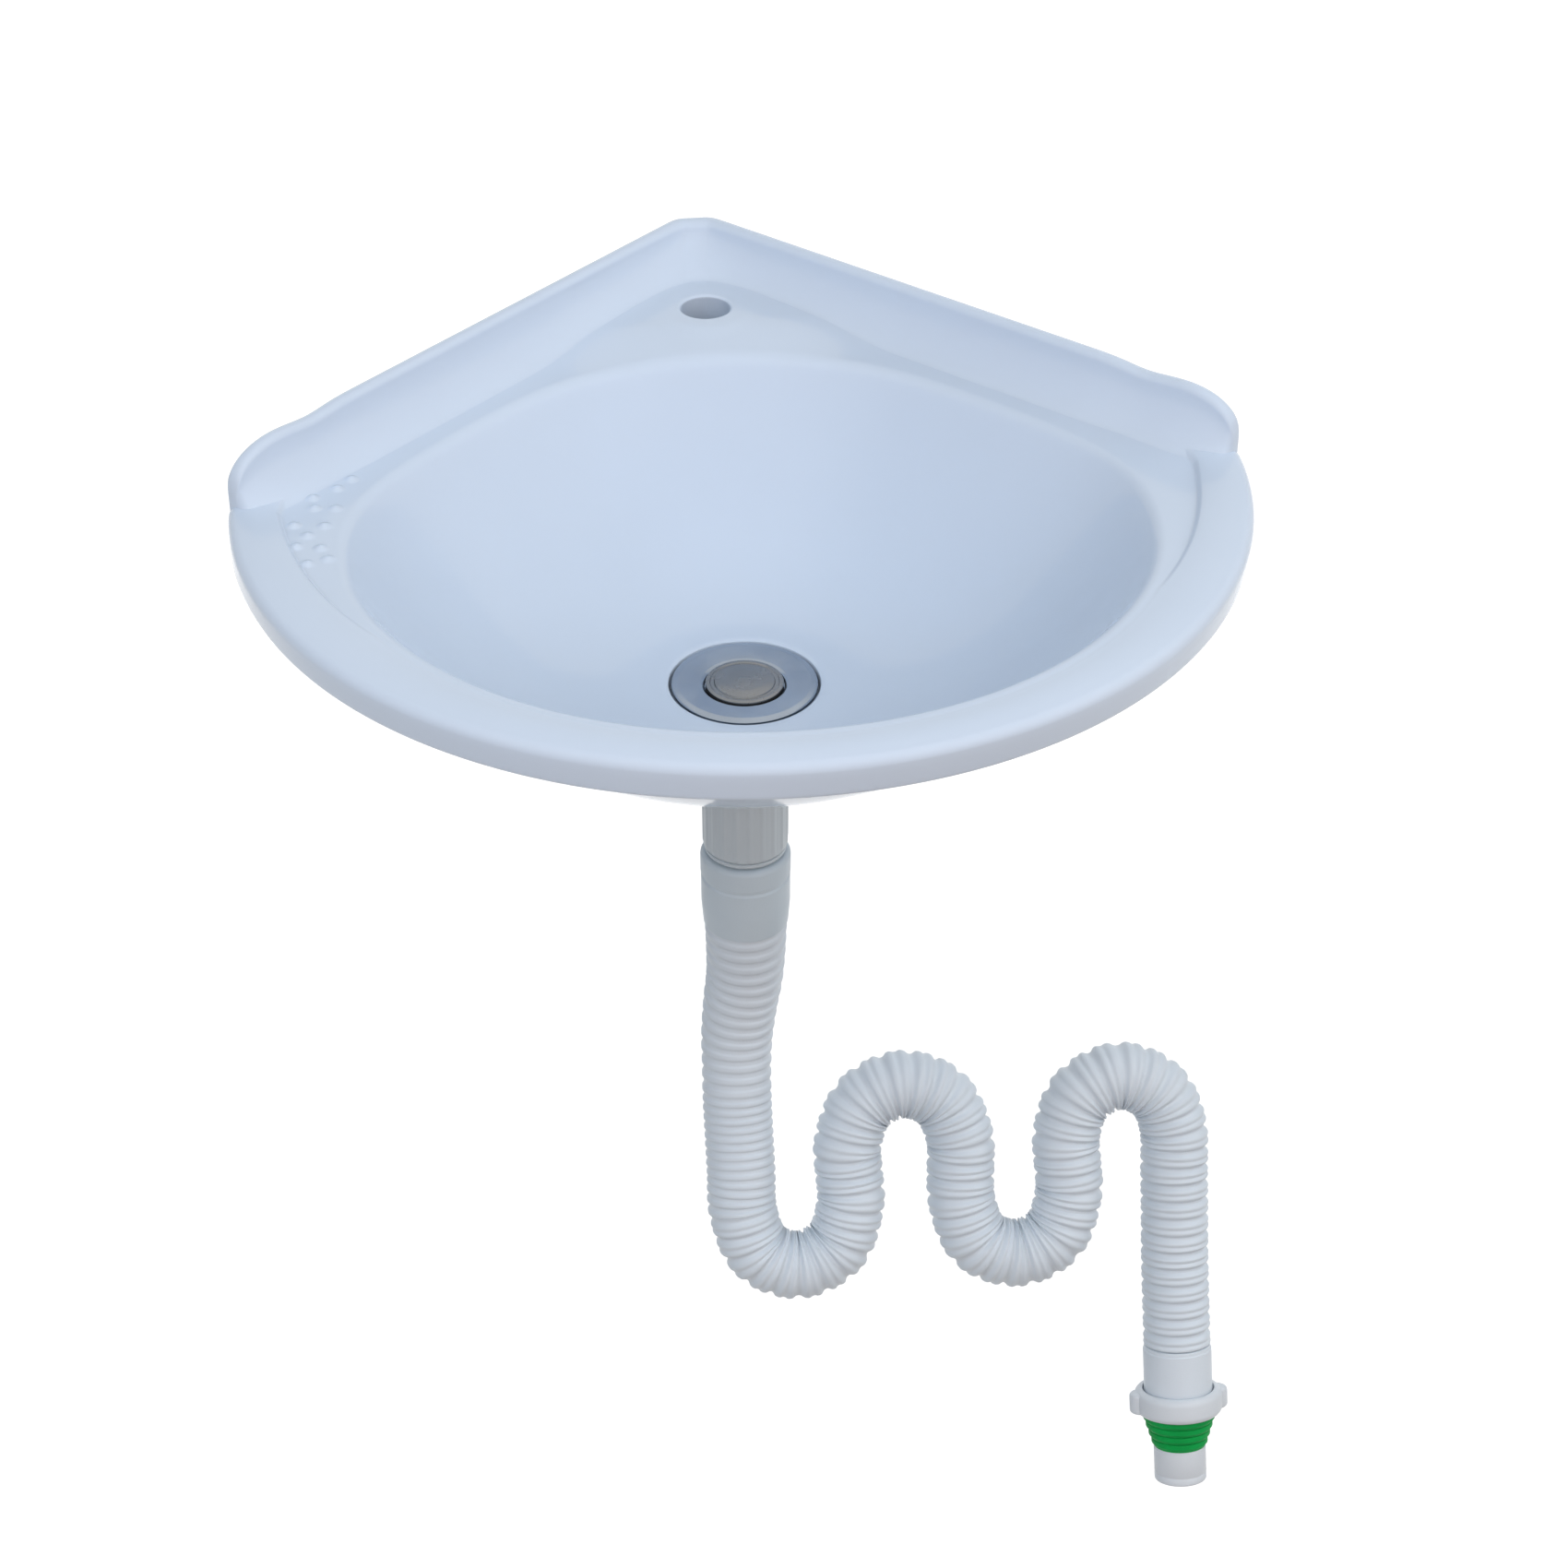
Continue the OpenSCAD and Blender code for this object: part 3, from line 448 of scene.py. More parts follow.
def rib_deep(s):
    """Depth of a groove, which is shallow where the hose is stretched straight."""
    share = min(1, max(0, 0.5 + (s - STRETCHED_LEN) / RIB_FADE))
    return mix(LEG_RIB_DEPTH, RIB_DEPTH, share)


def hose_knots():
    """Distance along the hose and radius of every ring of its skin, out and back along the bore."""
    knots = []
    for start, gap in rib_starts():
        for share, height in SINGLE_RIB if start < STRETCHED_LEN - 1 else DOUBLE_RIB:
            s = start + gap * share
            flare = HOSE_FLARE * max(0, 1 - s / FLARE_LEN)
            knots.append((s, HOSE_R - rib_deep(s) * (1 - height) + flare))
    knots.append((HOSE_LEN, HOSE_R - RIB_DEPTH))
    bore_rings = 90
    knots += [(HOSE_LEN * (bore_rings - i) / bore_rings, HOSE_BORE_R) for i in range(bore_rings + 1)]
    return knots


def build_hose():
    sides = 40
    reach = 2
    side = Vector((0, math.cos(END_LEAN), -math.sin(END_LEAN)))
    points = []
    for s, radius in hose_knots():
        ahead = (on_line(min(s + reach, HOSE_LEN)) - on_line(max(s - reach, 0))).normalized()
        across = (side - side.dot(ahead) * ahead).normalized()
        third = ahead.cross(across)
        centre = EXIT + on_line(s)
        for k in range(sides):
            angle = TURN * k / sides
            points.append(centre + radius * (math.cos(angle) * third + math.sin(angle) * across))
    faces = skin_faces(len(points) // sides, sides, True)
    return finish_piece(add_object("ribbed_hose", points, faces), HOSE_PLASTIC, "washbasin",
                        ["waste_hose"])


# Pieces on the hose's end

COLLAR_R = 22.25
COLLAR_LEN = 30
COLLAR_LIP_H = 3
COLLAR_LIP_W = 0.6
NUT_FLOOR = 5
NUT_R = 28.5
NUT_H = 17
NUT_ROUND = 5
EAR_R = 7.48
EAR_OUT = 25
SEAL_TOP_R = 23.5
SEAL_FOOT_R = 18.4
SEAL_H = 22.5
SEAL_STEPS = 4
SPIGOT_R = 17
SPIGOT_CORE_R = 16.7
SPIGOT_LEN = 23.5
SPIGOT_WALL = 2.5
SHOULDER_GAP = 1
HOSE_STOP = 4
FIT_GAP = 0.1
COLLAR_FOOT = COLLAR_LEN + NUT_H - NUT_FLOOR
SEAL_TOP = COLLAR_LEN + NUT_H
SPIGOT_FOOT = SEAL_TOP + SEAL_H + SPIGOT_LEN
BREAK_R = 0.2
SOFT_R = 0.4
ARC_STEPS = 6


def build_collar():
    lip_r = COLLAR_R + COLLAR_LIP_W
    step_r = COLLAR_R - 0.7
    step_low = COLLAR_FOOT - 3
    step_high = COLLAR_FOOT - 2.4
    step_round = 0.3
    mouth_round = 0.6
    stop_z = COLLAR_FOOT - HOSE_STOP
    outline = rounded([(SPIGOT_CORE_R, 0, BREAK_R), (lip_r, 0, BREAK_R), (lip_r, COLLAR_LIP_H, BREAK_R),
                       (COLLAR_R, COLLAR_LIP_H, 0), (COLLAR_R, step_low, step_round),
                       (step_r, step_high, step_round), (step_r, COLLAR_FOOT, mouth_round),
                       (HOSE_BORE_R, COLLAR_FOOT, SOFT_R), (HOSE_BORE_R, stop_z, BREAK_R),
                       (SPIGOT_CORE_R, stop_z, BREAK_R)])
    made = lathe("hose_end_collar", outline, at_end(COLLAR_FOOT))
    return finish_piece(made, HOSE_PLASTIC, "washbasin", ["end_collar"])


def build_ring_nut():
    """Nut with a pocket for the collar's lip, a wider mouth that leaves a dark line, and two ears."""
    inner = SPIGOT_CORE_R + FIT_GAP
    pocket = COLLAR_R + FIT_GAP
    lip_pocket = pocket + COLLAR_LIP_W
    lip_low = NUT_FLOOR + COLLAR_LIP_H + 0.1
    lip_high = NUT_FLOOR + COLLAR_LIP_H + 0.2
    mouth = pocket + 1
    mouth_low = NUT_H - 4
    mouth_high = NUT_H - 3
    top_round = NUT_ROUND - 0.5
    outline = rounded([(inner, 0, SOFT_R), (NUT_R, 0, NUT_ROUND), (NUT_R, NUT_H, top_round),
                       (mouth, NUT_H, SOFT_R), (mouth, mouth_high, 0), (pocket, mouth_low, 0),
                       (pocket, lip_high, 0), (lip_pocket, lip_low, 0), (lip_pocket, NUT_FLOOR, 0),
                       (inner, NUT_FLOOR, 0)], ARC_STEPS)
    made = lathe("ring_nut_body", outline, at_end(SEAL_TOP))
    ear_low = 1.5
    ear_high = NUT_H - ear_low
    ear_round = 2.5
    ear_sides = 48
    ear_outline = rounded([(TOOL_CORE_R, ear_low, 0), (EAR_R, ear_low, ear_round),
                           (EAR_R, ear_high, ear_round), (TOOL_CORE_R, ear_high, 0)], ARC_STEPS)
    for side in (-1, 1):
        place = at_end(SEAL_TOP) @ Matrix.Translation((side * EAR_OUT, 0, 0))
        combine(made, lathe("ear", ear_outline, place, ear_sides), "UNION")
    above = NUT_H + 1
    pocket_cut = lathe("pocket", [(TOOL_CORE_R, NUT_FLOOR), (lip_pocket, NUT_FLOOR), (lip_pocket, lip_low),
                                  (pocket, lip_high), (pocket, mouth_low), (mouth, mouth_high),
                                  (mouth, above), (TOOL_CORE_R, above)], at_end(SEAL_TOP))
    combine(made, pocket_cut, "DIFFERENCE")
    return finish_piece(made, WHITE_PLASTIC, "washbasin", ["ring_nut"])


def build_seal():
    """Cone of soft steps, each with an undercut at its foot."""
    inner = SPIGOT_CORE_R + FIT_GAP
    step_h = SEAL_H / SEAL_STEPS
    fall = (SEAL_TOP_R - SEAL_FOOT_R) / (SEAL_STEPS - 1)
    groove = 2.2
    groove_round = 0.15
    slope_share = 0.45
    low_round = 0.5
    high_round = 0.35
    crest_down = 0.4
    crest_in = 0.6
    crest_round = 0.1
    corners = [(inner, 0, BREAK_R)]
    for i in range(SEAL_STEPS):
        r = SEAL_FOOT_R + fall * i
        corners.append((r - groove, i * step_h, groove_round))
        corners.append((r, i * step_h + step_h * slope_share, low_round))
        corners.append((r, (i + 1) * step_h - crest_down, high_round))
        if i < SEAL_STEPS - 1:
            corners.append((r - crest_in, (i + 1) * step_h, crest_round))
    corners.append((SEAL_TOP_R - crest_in, SEAL_H, 0))
    corners.append((inner, SEAL_H, 0))
    made = lathe("stepped_seal", rounded(corners), at_end(SEAL_TOP + SEAL_H))
    return finish_piece(made, GREEN_RUBBER, "washbasin", ["drain_seal"])


def build_spigot():
    """Plain tip with a fine line near its mouth and a narrower core that reaches up to the hose."""
    r = SPIGOT_R
    bore = r - SPIGOT_WALL
    line_r = r - 0.25
    shoulder = SPIGOT_LEN - SHOULDER_GAP
    top = SPIGOT_FOOT - HOSE_STOP
    top_round = 0.3
    line_shape = [(r, 4.6, 0), (line_r, 5, 0), (line_r, 5.8, 0), (r, 6.2, 0)]
    outline = rounded([(bore, 0, 0.8), (r, 0, 1.6), *line_shape, (r, shoulder, 0.15),
                       (SPIGOT_CORE_R, shoulder, 0), (SPIGOT_CORE_R, top, top_round), (bore, top, top_round)])
    made = lathe("spigot", outline, at_end(SPIGOT_FOOT))
    return finish_piece(made, WHITE_PLASTIC, "washbasin", ["drain_spigot"])


add_camera()
hose = build_hose()
end_pieces = [build_collar(), build_ring_nut(), build_seal(), build_spigot()]


# Basin, whose stations are angles round the waste

# How sharply outlines meet where their parts cross; higher is sharper
EDGE_SHARPNESS = 160
SHELF_SHARPNESS = 60
COVE_SHARPNESS = 24
BOWL_SHARPNESS = 18
SHELF_WALL_GAP = 22


def outline_parts(a, d):
    """Distances at angle a to both walls, the cut corner and the round front, each set in by d."""
    c = math.cos(a)
    s = math.sin(a)
    flat = 0.01
    arc_side = (RIM_R - d) ** 2 - ((WASTE_BACK - RIM_BACK) * c) ** 2
    return [(WASTE_BACK - ROOT2 * d) / (c + s) if c + s > flat else FAR,
            (WASTE_BACK - ROOT2 * d) / (s - c) if s - c > flat else FAR,
            (WASTE_BACK - APEX_HALF - d) / s if s > flat else FAR,
            (WASTE_BACK - RIM_BACK) * s + math.sqrt(arc_side)]


def soft_least(parts, sharpness):
    """The least of the parts, with a soft change from one to the next."""
    least = min(parts)
    return least * sum((v / least) ** -sharpness for v in parts) ** (-1 / sharpness)


def edge_line(a, d):
    """Distance from the waste to the outline set in by d, with its corners just rounded."""
    return soft_least(outline_parts(a, d), EDGE_SHARPNESS)


def band_w(a):
    """Width of the raised rim, which grows from the sides to the front."""
    return BAND_SIDE_W + (BAND_FRONT_W - BAND_SIDE_W) * max(0, -math.sin(a)) ** BAND_TAPER


def oval(a):
    """Distance from the waste to the bowl's ellipse, whose middle lies in front of the waste."""
    q = (math.cos(a) / BOWL_HALF_W) ** 2 + (math.sin(a) / BOWL_HALF_L) ** 2
    h = POLE_SHIFT * math.sin(a) / BOWL_HALF_L ** 2
    c = (POLE_SHIFT / BOWL_HALF_L) ** 2 - 1
    return (-h + math.sqrt(h * h - q * c)) / q


def bowl_edge(a):
    side = outline_parts(a, BOWL_WALL_GAP)
    return soft_least([oval(a), side[0], side[1]], BOWL_SHARPNESS)


def shelf_edge(a):
    """Distance to the foot of the low step round the shelf."""
    wall = outline_parts(a, SHELF_WALL_GAP)
    rim = outline_parts(a, band_w(a) + STEP_W)
    return soft_least([wall[0], wall[1], wall[2], rim[3]], SHELF_SHARPNESS)


def shelf_at(a):
    """Height of the shelf, which is less deep where there is little room for it in front."""
    side = 0.02
    if math.sin(a) > side:
        return SHELF_Z
    full_room = 14
    least = 0.15
    room = edge_line(a, 0) - band_w(a) - bowl_edge(a) - LIP_R
    return SHELF_Z * min(1, max(least, room / full_room))


def deck_height(x, y, low):
    """Height of the shelf, which rises to a level ground behind the bowl and round the tap hole."""
    deck_reach = 150
    deck_full = 100
    side_full = 30
    side_reach = 150
    land_full = TAP_LAND_R - 2
    land_end = TAP_LAND_R + 8
    back = smooth(deck_reach, deck_full, -y) * (1 - smooth(side_full, side_reach, abs(x)))
    plain = low + DECK_RISE * back
    from_tap = math.hypot(x, y + TAP_BACK)
    return mix(TAP_LAND_Z, plain, smooth(land_full, land_end, from_tap))


def wall_height(s):
    """Height of the ledge on the wall at distance s from the corner, with the slight dip before its end."""
    if s <= LOBE_START:
        end = UPSTAND_H
    else:
        share = 1 - ((s - LOBE_START) / LOBE_LEN) ** LOBE_FULL
        end = NOTCH_Z + (UPSTAND_H - NOTCH_Z) * max(0, share) ** (1 / LOBE_FULL)
    dip = 2
    dip_at = 343
    dip_w = 17
    return end - dip * math.exp(-((s - dip_at) / dip_w) ** 2)


def skirt_foot(a):
    """Height of the basin's lower edge: low at the corner of the walls, level round the front."""
    if math.sin(a) < 0:
        return -APRON_H
    r = edge_line(a, 0)
    x = r * math.cos(a)
    y = r * math.sin(a) - WASTE_BACK
    s = min(SIDE_LEN, (abs(x) - y) / ROOT2)
    return -APRON_H - (SKIRT_H - APRON_H) * (1 - (s / SIDE_LEN) ** 2)


# Rounded parts of the profile, as distances out and up from their corner
SEAT_FILLET = [(-6, 0), (-1.5, 0), (-0.4, 0.4), (0, 1.5)]
RECESS_LIP = [(0, -2), (0.3, -1), (1.2, -0.4), (2.9, -0.1)]
BOSS_FILLET = [(BOSS_FLARE, 0), (2, -1.5), (0.4, -4)]
BOSS_FOOT = [(0, 1), (-1, 0)]
BOSS_MOUTH = [(1, 0), (0, 1)]


def shaped(r, z, offsets):
    return [(r + out, z + up) for out, up in offsets]


def basin_profile(a):
    """Radius and height of the points once round the china at angle a, without the ledge."""
    c = math.cos(a)
    s = math.sin(a)
    edge = bowl_edge(a)
    shelf = shelf_at(a)
    points = [(OUTLET_R, SEAT_Z)]
    points += shaped(RECESS_R, SEAT_Z, SEAT_FILLET)
    points += shaped(RECESS_R, BOWL_Z, RECESS_LIP)

    # Bowl side up to the lip, which carries on from its slope
    steepness = BOWL_FULL * (shelf - LIP_R * 0.5 - BOWL_Z) / (edge - FLOOR_R)
    lip_turn = math.atan(steepness)
    side_top = shelf - LIP_R * (1 - math.cos(lip_turn))
    side_rings = 36
    for k in range(side_rings, -1, -1):
        t = k / side_rings
        points.append((mix(edge, FLOOR_R, t), side_top - (side_top - BOWL_Z) * (1 - (1 - t) ** BOWL_FULL)))
    lip_start = edge + LIP_R * math.sin(lip_turn)
    lip_rings = 8
    for k in range(1, lip_rings + 1):
        turn = lip_turn * (1 - k / lip_rings)
        r = lip_start - LIP_R * math.sin(turn)
        ground = deck_height(r * c, r * s - WASTE_BACK, shelf) - shelf
        points.append((r, shelf - LIP_R * (1 - math.cos(turn)) + ground * k / lip_rings))

    # Shelf, low step and raised rim
    least_shelf = 1.5
    foot = max(shelf_edge(a), lip_start + least_shelf)
    rim_end = edge_line(a, EDGE_R)
    deck_rings = 22
    for k in range(1, deck_rings + 1):
        r = mix(lip_start, foot, k / deck_rings)
        points.append((r, deck_height(r * c, r * s - WASTE_BACK, shelf)))
    foot_z = points[-1][1]
    step_end = min(foot + STEP_W, rim_end - 1)
    step_rings = 6
    for k in range(1, step_rings + 1):
        t = k / step_rings
        points.append((mix(foot, step_end, t), mix(foot_z, 0, smooth(0, 1, t))))
    rim_rings = 8
    for k in range(1, rim_rings + 1):
        t = k / rim_rings
        points.append((mix(step_end, rim_end, t), CROWN_H * (1 - (2 * t - 1) ** 2)))

    # Outer edge, outer face, foot and inside of the skirt
    edge_rings = 8
    for k in range(1, edge_rings + 1):
        turn = math.pi / 2 * k / edge_rings
        points.append((edge_line(a, EDGE_R * (1 - math.sin(turn))), -EDGE_R * (1 - math.cos(turn))))
    low = skirt_foot(a)
    foot_round = 2.5
    foot_rings = 4
    draft_fade = 0.35
    draft = APRON_DRAFT * smooth(0, draft_fade, -s)
    for share in (0.33, 0.67):
        points.append((edge_line(a, draft * share), mix(-EDGE_R, low + foot_round, share)))
    for k in range(foot_rings + 1):
        turn = math.pi / 2 * k / foot_rings
        points.append((edge_line(a, draft + foot_round * (1 - math.cos(turn))),
                       low + foot_round * (1 - math.sin(turn))))
    for k in range(foot_rings + 1):
        turn = math.pi / 2 * k / foot_rings
        points.append((edge_line(a, CHINA_T - foot_round * (1 - math.sin(turn))),
                       low + foot_round * (1 - math.cos(turn))))
    inner = edge_line(a, CHINA_T)
    ceiling = shelf - CHINA_T
    lean = 0.01
    for share in (0.35, 0.7, 1):
        points.append((inner - lean * share, mix(low + foot_round, ceiling, share)))

    # Underside of the shelf and the bowl, down to the boss round the outlet
    under_rings = 20
    inner_gap = 4
    ceiling_gap = 0.3
    for k in range(under_rings):
        t = k / under_rings
        run = edge - FLOOR_R
        fall = (side_top - BOWL_Z) * BOWL_FULL * (1 - t) ** (BOWL_FULL - 1)
        span = math.hypot(run, fall)
        r = mix(edge, FLOOR_R, t) + CHINA_T * fall / span
        z = side_top - (side_top - BOWL_Z) * (1 - (1 - t) ** BOWL_FULL) - CHINA_T * run / span
        points.append((min(r, inner - inner_gap), min(z, ceiling - ceiling_gap)))
    points += shaped(BOSS_R, BOSS_TOP_Z, BOSS_FILLET)
    points += shaped(BOSS_R, BOSS_Z, BOSS_FOOT)
    points += shaped(OUTLET_R, BOSS_Z, BOSS_MOUTH)
    return points


def basin_angles():
    """Angles of the stations in degrees, closer together at the ends of the walls and at the corner."""
    notch = math.degrees(math.atan2(WASTE_BACK - WALL_END, WALL_END))
    apex = math.degrees(math.atan2(WASTE_BACK - APEX_HALF, APEX_HALF))
    plain_step = 0.75
    angles = [plain_step * i for i in range(round(360 / plain_step))]
    # Keeps the closer stations off the plain ones
    aside = 0.011
    for middle, reach, step in ((notch, 4, 0.15), (apex, 2.5, 0.2)):
        for centre in (middle, 180 - middle):
            count = round(2 * reach / step)
            angles += [centre - reach + step * i + aside for i in range(count)]
    return sorted(a % 360 for a in angles)


def build_body():
    points = []
    angles = basin_angles()
    for degrees in angles:
        a = math.radians(degrees)
        profile = basin_profile(a)
        points += [(r * math.cos(a), r * math.sin(a) - WASTE_BACK, z) for r, z in profile]
    return add_object("corner_basin", points, skin_faces(len(angles), len(profile), True))


LEDGE_END_ROUND = 3
LEDGE_FOOT_Z = -8


def ledge_section(s, side):
    """Points once round the ledge at distance s along its wall: distance in from the wall, and height."""
    end_pinch = 2
    late = max(0, (s - SIDE_LEN + LEDGE_END_ROUND) / LEDGE_END_ROUND)
    pinch = end_pinch * (1 - math.sqrt(max(0, 1 - late ** 2)))
    top = wall_height(s) - pinch
    proud = 0.02
    outer = pinch - proud
    inner = LEDGE_W - pinch
    wall_x = s / ROOT2
    sunk = 0.12
    toe_x = side * (wall_x - COVE_W / ROOT2)
    toe_y = -(wall_x + COVE_W / ROOT2)
    toe_z = deck_height(toe_x, toe_y, SHELF_Z) - sunk
    crest_r = min(3.5, 0.45 * (inner - outer))
    inner_r = min(4, 0.5 * (inner - outer))
    height = top - inner_r - toe_z
    full_height = UPSTAND_H - inner_r - SHELF_Z
    least = 0.12
    narrowing = 0.8
    width = (COVE_W - LEDGE_W) * min(1, max(least, height / full_height)) ** narrowing
    points = [(outer, LEDGE_FOOT_Z), (outer, mix(LEDGE_FOOT_Z, top - crest_r, 0.5)), (outer, top - crest_r)]
    crest_rings = 5
    for k in range(1, crest_rings + 1):
        turn = math.pi / 2 * k / crest_rings
        points.append((outer + crest_r * (1 - math.cos(turn)), top - crest_r * (1 - math.sin(turn))))
    points.append((mix(outer + crest_r, inner - inner_r, 0.5), top))
    for k in range(crest_rings + 1):
        turn = math.pi / 2 * k / crest_rings
        points.append((inner - inner_r * (1 - math.sin(turn)), top - inner_r * (1 - math.cos(turn))))
    cove_rings = 16
    fullness = 1.6
    for k in range(1, cove_rings + 1):
        turn = math.pi / 2 * k / cove_rings
        points.append((inner + width * (1 - math.cos(turn) ** (2 / fullness)),
                       top - inner_r - height * math.sin(turn) ** (2 / fullness)))
    toe_out = 1
    toe_down = 1.5
    points.append((inner + width + toe_out, toe_z - toe_down))
    points.append((inner + width, LEDGE_FOOT_Z))
    return points


def ledge_point(s, side, d):
    """Plan position at distance s along a wall and d in from it; fans round the corner of the walls."""
    fan_reach = 60
    straight_from = 112
    crest_end = LEDGE_W - 2
    cove_start = LEDGE_W + 8
    straight = Vector(((s - d) / ROOT2, -(s + d) / ROOT2))
    a = math.atan2(WASTE_BACK - s / ROOT2, s / ROOT2)
    soft = soft_least(outline_parts(a, d), COVE_SHARPNESS)
    r = mix(edge_line(a, d), soft, smooth(crest_end, cove_start, d))
    fanned = Vector((r * math.cos(a), r * math.sin(a) - WASTE_BACK))
    placed = fanned.lerp(straight, smooth(fan_reach, straight_from, s))
    return side * placed.x, placed.y


def build_ledge():
    """Skin over the sections of both walls, from the left end round the corner to the right end."""
    lobe_rings = 30
    end_rings = 10
    wall_step = 4
    wall_rings = 62
    corner_rings = 70
    past_cut = 8
    corner_from = APEX_HALF * ROOT2 - past_cut
    corner_to = LOBE_START - wall_step * wall_rings
    lobe_turns = [math.pi / 2 * k / lobe_rings for k in range(lobe_rings, 0, -1)]
    distances = [SIDE_LEN - LOBE_LEN * (1 - math.sin(turn)) for turn in lobe_turns]
    distances += [SIDE_LEN - LEDGE_END_ROUND * (k / end_rings) ** 2 for k in range(1, end_rings)]
    distances += [LOBE_START - wall_step * k for k in range(wall_rings)]
    distances += [mix(corner_from, corner_to, k / corner_rings) for k in range(corner_rings + 1)]
    distances = sorted(set(round(s, 4) for s in distances), reverse=True)
    rings = [(s, -1) for s in distances]
    rings += [(s, 1) for s in reversed(distances)]
    points = []
    for s, side in rings:
        for d, z in ledge_section(s, side):
            x, y = ledge_point(s, side, d)
            points.append((x, y, z))
    size = len(ledge_section(SIDE_LEN, 1))
    return add_object("ledge", points, skin_faces(len(rings), size, False))


# Angle of each stud in degrees and its share of the way from the bowl to the rim
STUDS = [(170.3, 0.78), (173.1, 0.75), (175.6, 1), (178.4, 0.66), (178.7, 0.23), (182.5, 0.81),
         (183.3, 0.24), (185.4, 0.52), (187.8, 0.78), (189, 0.27), (192, 0.12), (192.3, 0.68)]


def add_studs(basin):
    """Low domes on the left shelf that keep a soap off the china."""
    foot_r = 5.2
    stud_h = 1.7
    sunk = 2
    toe = -0.04
    dome_rings = 9
    sides = 32
    for degrees, share in STUDS:
        a = math.radians(degrees)
        room = min(soft_least(outline_parts(a, COVE_W), COVE_SHARPNESS), outline_parts(a, band_w(a))[3])
        r = mix(bowl_edge(a) + LIP_R, room, share)
        place = Matrix.Translation((r * math.cos(a), r * math.sin(a) - WASTE_BACK, SHELF_Z))
        dome = [(CORE_R, -sunk), (foot_r, -sunk), (foot_r, toe)]
        for k in range(1, dome_rings + 1):
            dome.append((mix(foot_r, CORE_R, k / dome_rings), stud_h * smooth(0, 1, k / dome_rings)))
        combine(basin, lathe("stud", dome, place, sides), "UNION")


def cut_tap_hole(basin):
    """Hole through the deck, rounded at its upper edge."""
    flare = 2.2
    flare_rings = 6
    low = -30
    above = TAP_LAND_Z + 5
    mouth_r = TAP_HOLE_R + flare + 0.5
    mouth_z = TAP_LAND_Z + 0.02
    outline = [(CORE_R, low), (TAP_HOLE_R, low), (TAP_HOLE_R, TAP_LAND_Z - flare)]
    for k in range(1, flare_rings + 1):
        turn = math.pi / 2 * k / flare_rings
        outline.append((TAP_HOLE_R + flare * (1 - math.cos(turn)), TAP_LAND_Z - flare * (1 - math.sin(turn))))
    outline += [(mouth_r, mouth_z), (mouth_r, above), (CORE_R, above)]
    combine(basin, lathe("tap_hole", outline, Matrix.Translation((0, -TAP_BACK, 0))), "DIFFERENCE")


def shade_tap_hole(basin):
    """Paints shade on the inside of the tap hole below its rounded edge, with a darker, matt material."""
    basin.data.materials.append(TAP_HOLE_SHADE)
    reach = TAP_HOLE_R + 0.3
    for face in basin.data.polygons:
        middle = face.center / MM
        if math.hypot(middle.x, middle.y + TAP_BACK) < reach:
            face.material_index = 1


def cut_fixing_slots(basin):
    """Slots with round ends through both walls, for the bolts that hold the basin."""
    along = 215
    down = 52
    half_straight = 4
    radius = 7
    depth = 24
    sides = 48
    outline = []
    for k in range(sides):
        angle = TURN * k / sides
        end = half_straight if math.cos(angle) >= 0 else -half_straight
        outline.append((end + radius * math.cos(angle), radius * math.sin(angle)))
    for side in (-1, 1):
        turn = Matrix.Rotation(math.radians(-45) * side, 4, "Z")
        place = Matrix.Translation((side * along / ROOT2, -along / ROOT2, -down)) @ turn
        points = [place @ Vector((x, y, z)) for y in (-depth, depth) for x, z in outline]
        combine(basin, add_object("slot", points, skin_faces(2, sides, False)), "DIFFERENCE")


def build_basin():
    basin = build_body()
    combine(basin, build_ledge(), "UNION")
    add_studs(basin)
    cut_tap_hole(basin)
    cut_fixing_slots(basin)
    finish_piece(basin, GLAZE, "washbasin", ["basin"], sharp=38)
    shade_tap_hole(basin)
    return basin


# Waste, plug and couplings under the basin

FINE_SIDES = 128
FLANGE_EDGE = 4
THREAD_MARK = 0.001


def thread(angle, r, z):
    """Radius of a point of the waste; the thread's points are marked by a radius just under THREAD_R."""
    near = 1e-6
    if abs(r - THREAD_R + THREAD_MARK) > near:
        return r
    slope = 1.25
    phase = (z / THREAD_PITCH + angle / TURN) % 1
    return THREAD_R - THREAD_H + THREAD_H * min(1, slope * abs(2 * phase - 1))


def add_cross_bar(waste):
    """Hub and three arms inside the tube, which carry the click cartridge."""
    bore = 6.05
    hub_r = 9
    hub_h = 7
    break_r = 0.3
    hub_round = 0.8
    arm_start = 8
    arm_end = WASTE_BORE_R + 0.3
    half_arm = 2
    arm_count = 3
    first_arm = 30
    hub_sides = 48
    bar_z = -164
    place = at_waste(bar_z)
    hub = rounded([(bore, 0, break_r), (hub_r, 0, hub_round), (hub_r, hub_h, hub_round),
                   (bore, hub_h, break_r)])
    combine(waste, lathe("hub", hub, place, hub_sides), "UNION")
    arm = [(arm_start, -half_arm), (arm_end, -half_arm), (arm_end, half_arm), (arm_start, half_arm)]
    for i in range(arm_count):
        turn = Matrix.Rotation(math.radians(first_arm + 360 / arm_count * i), 4, "Z")
        points = [place @ turn @ Vector((x, y, z)) for z in (0, hub_h) for x, y in arm]
        combine(waste, add_object("arm", points, skin_faces(2, 4, False)), "UNION")


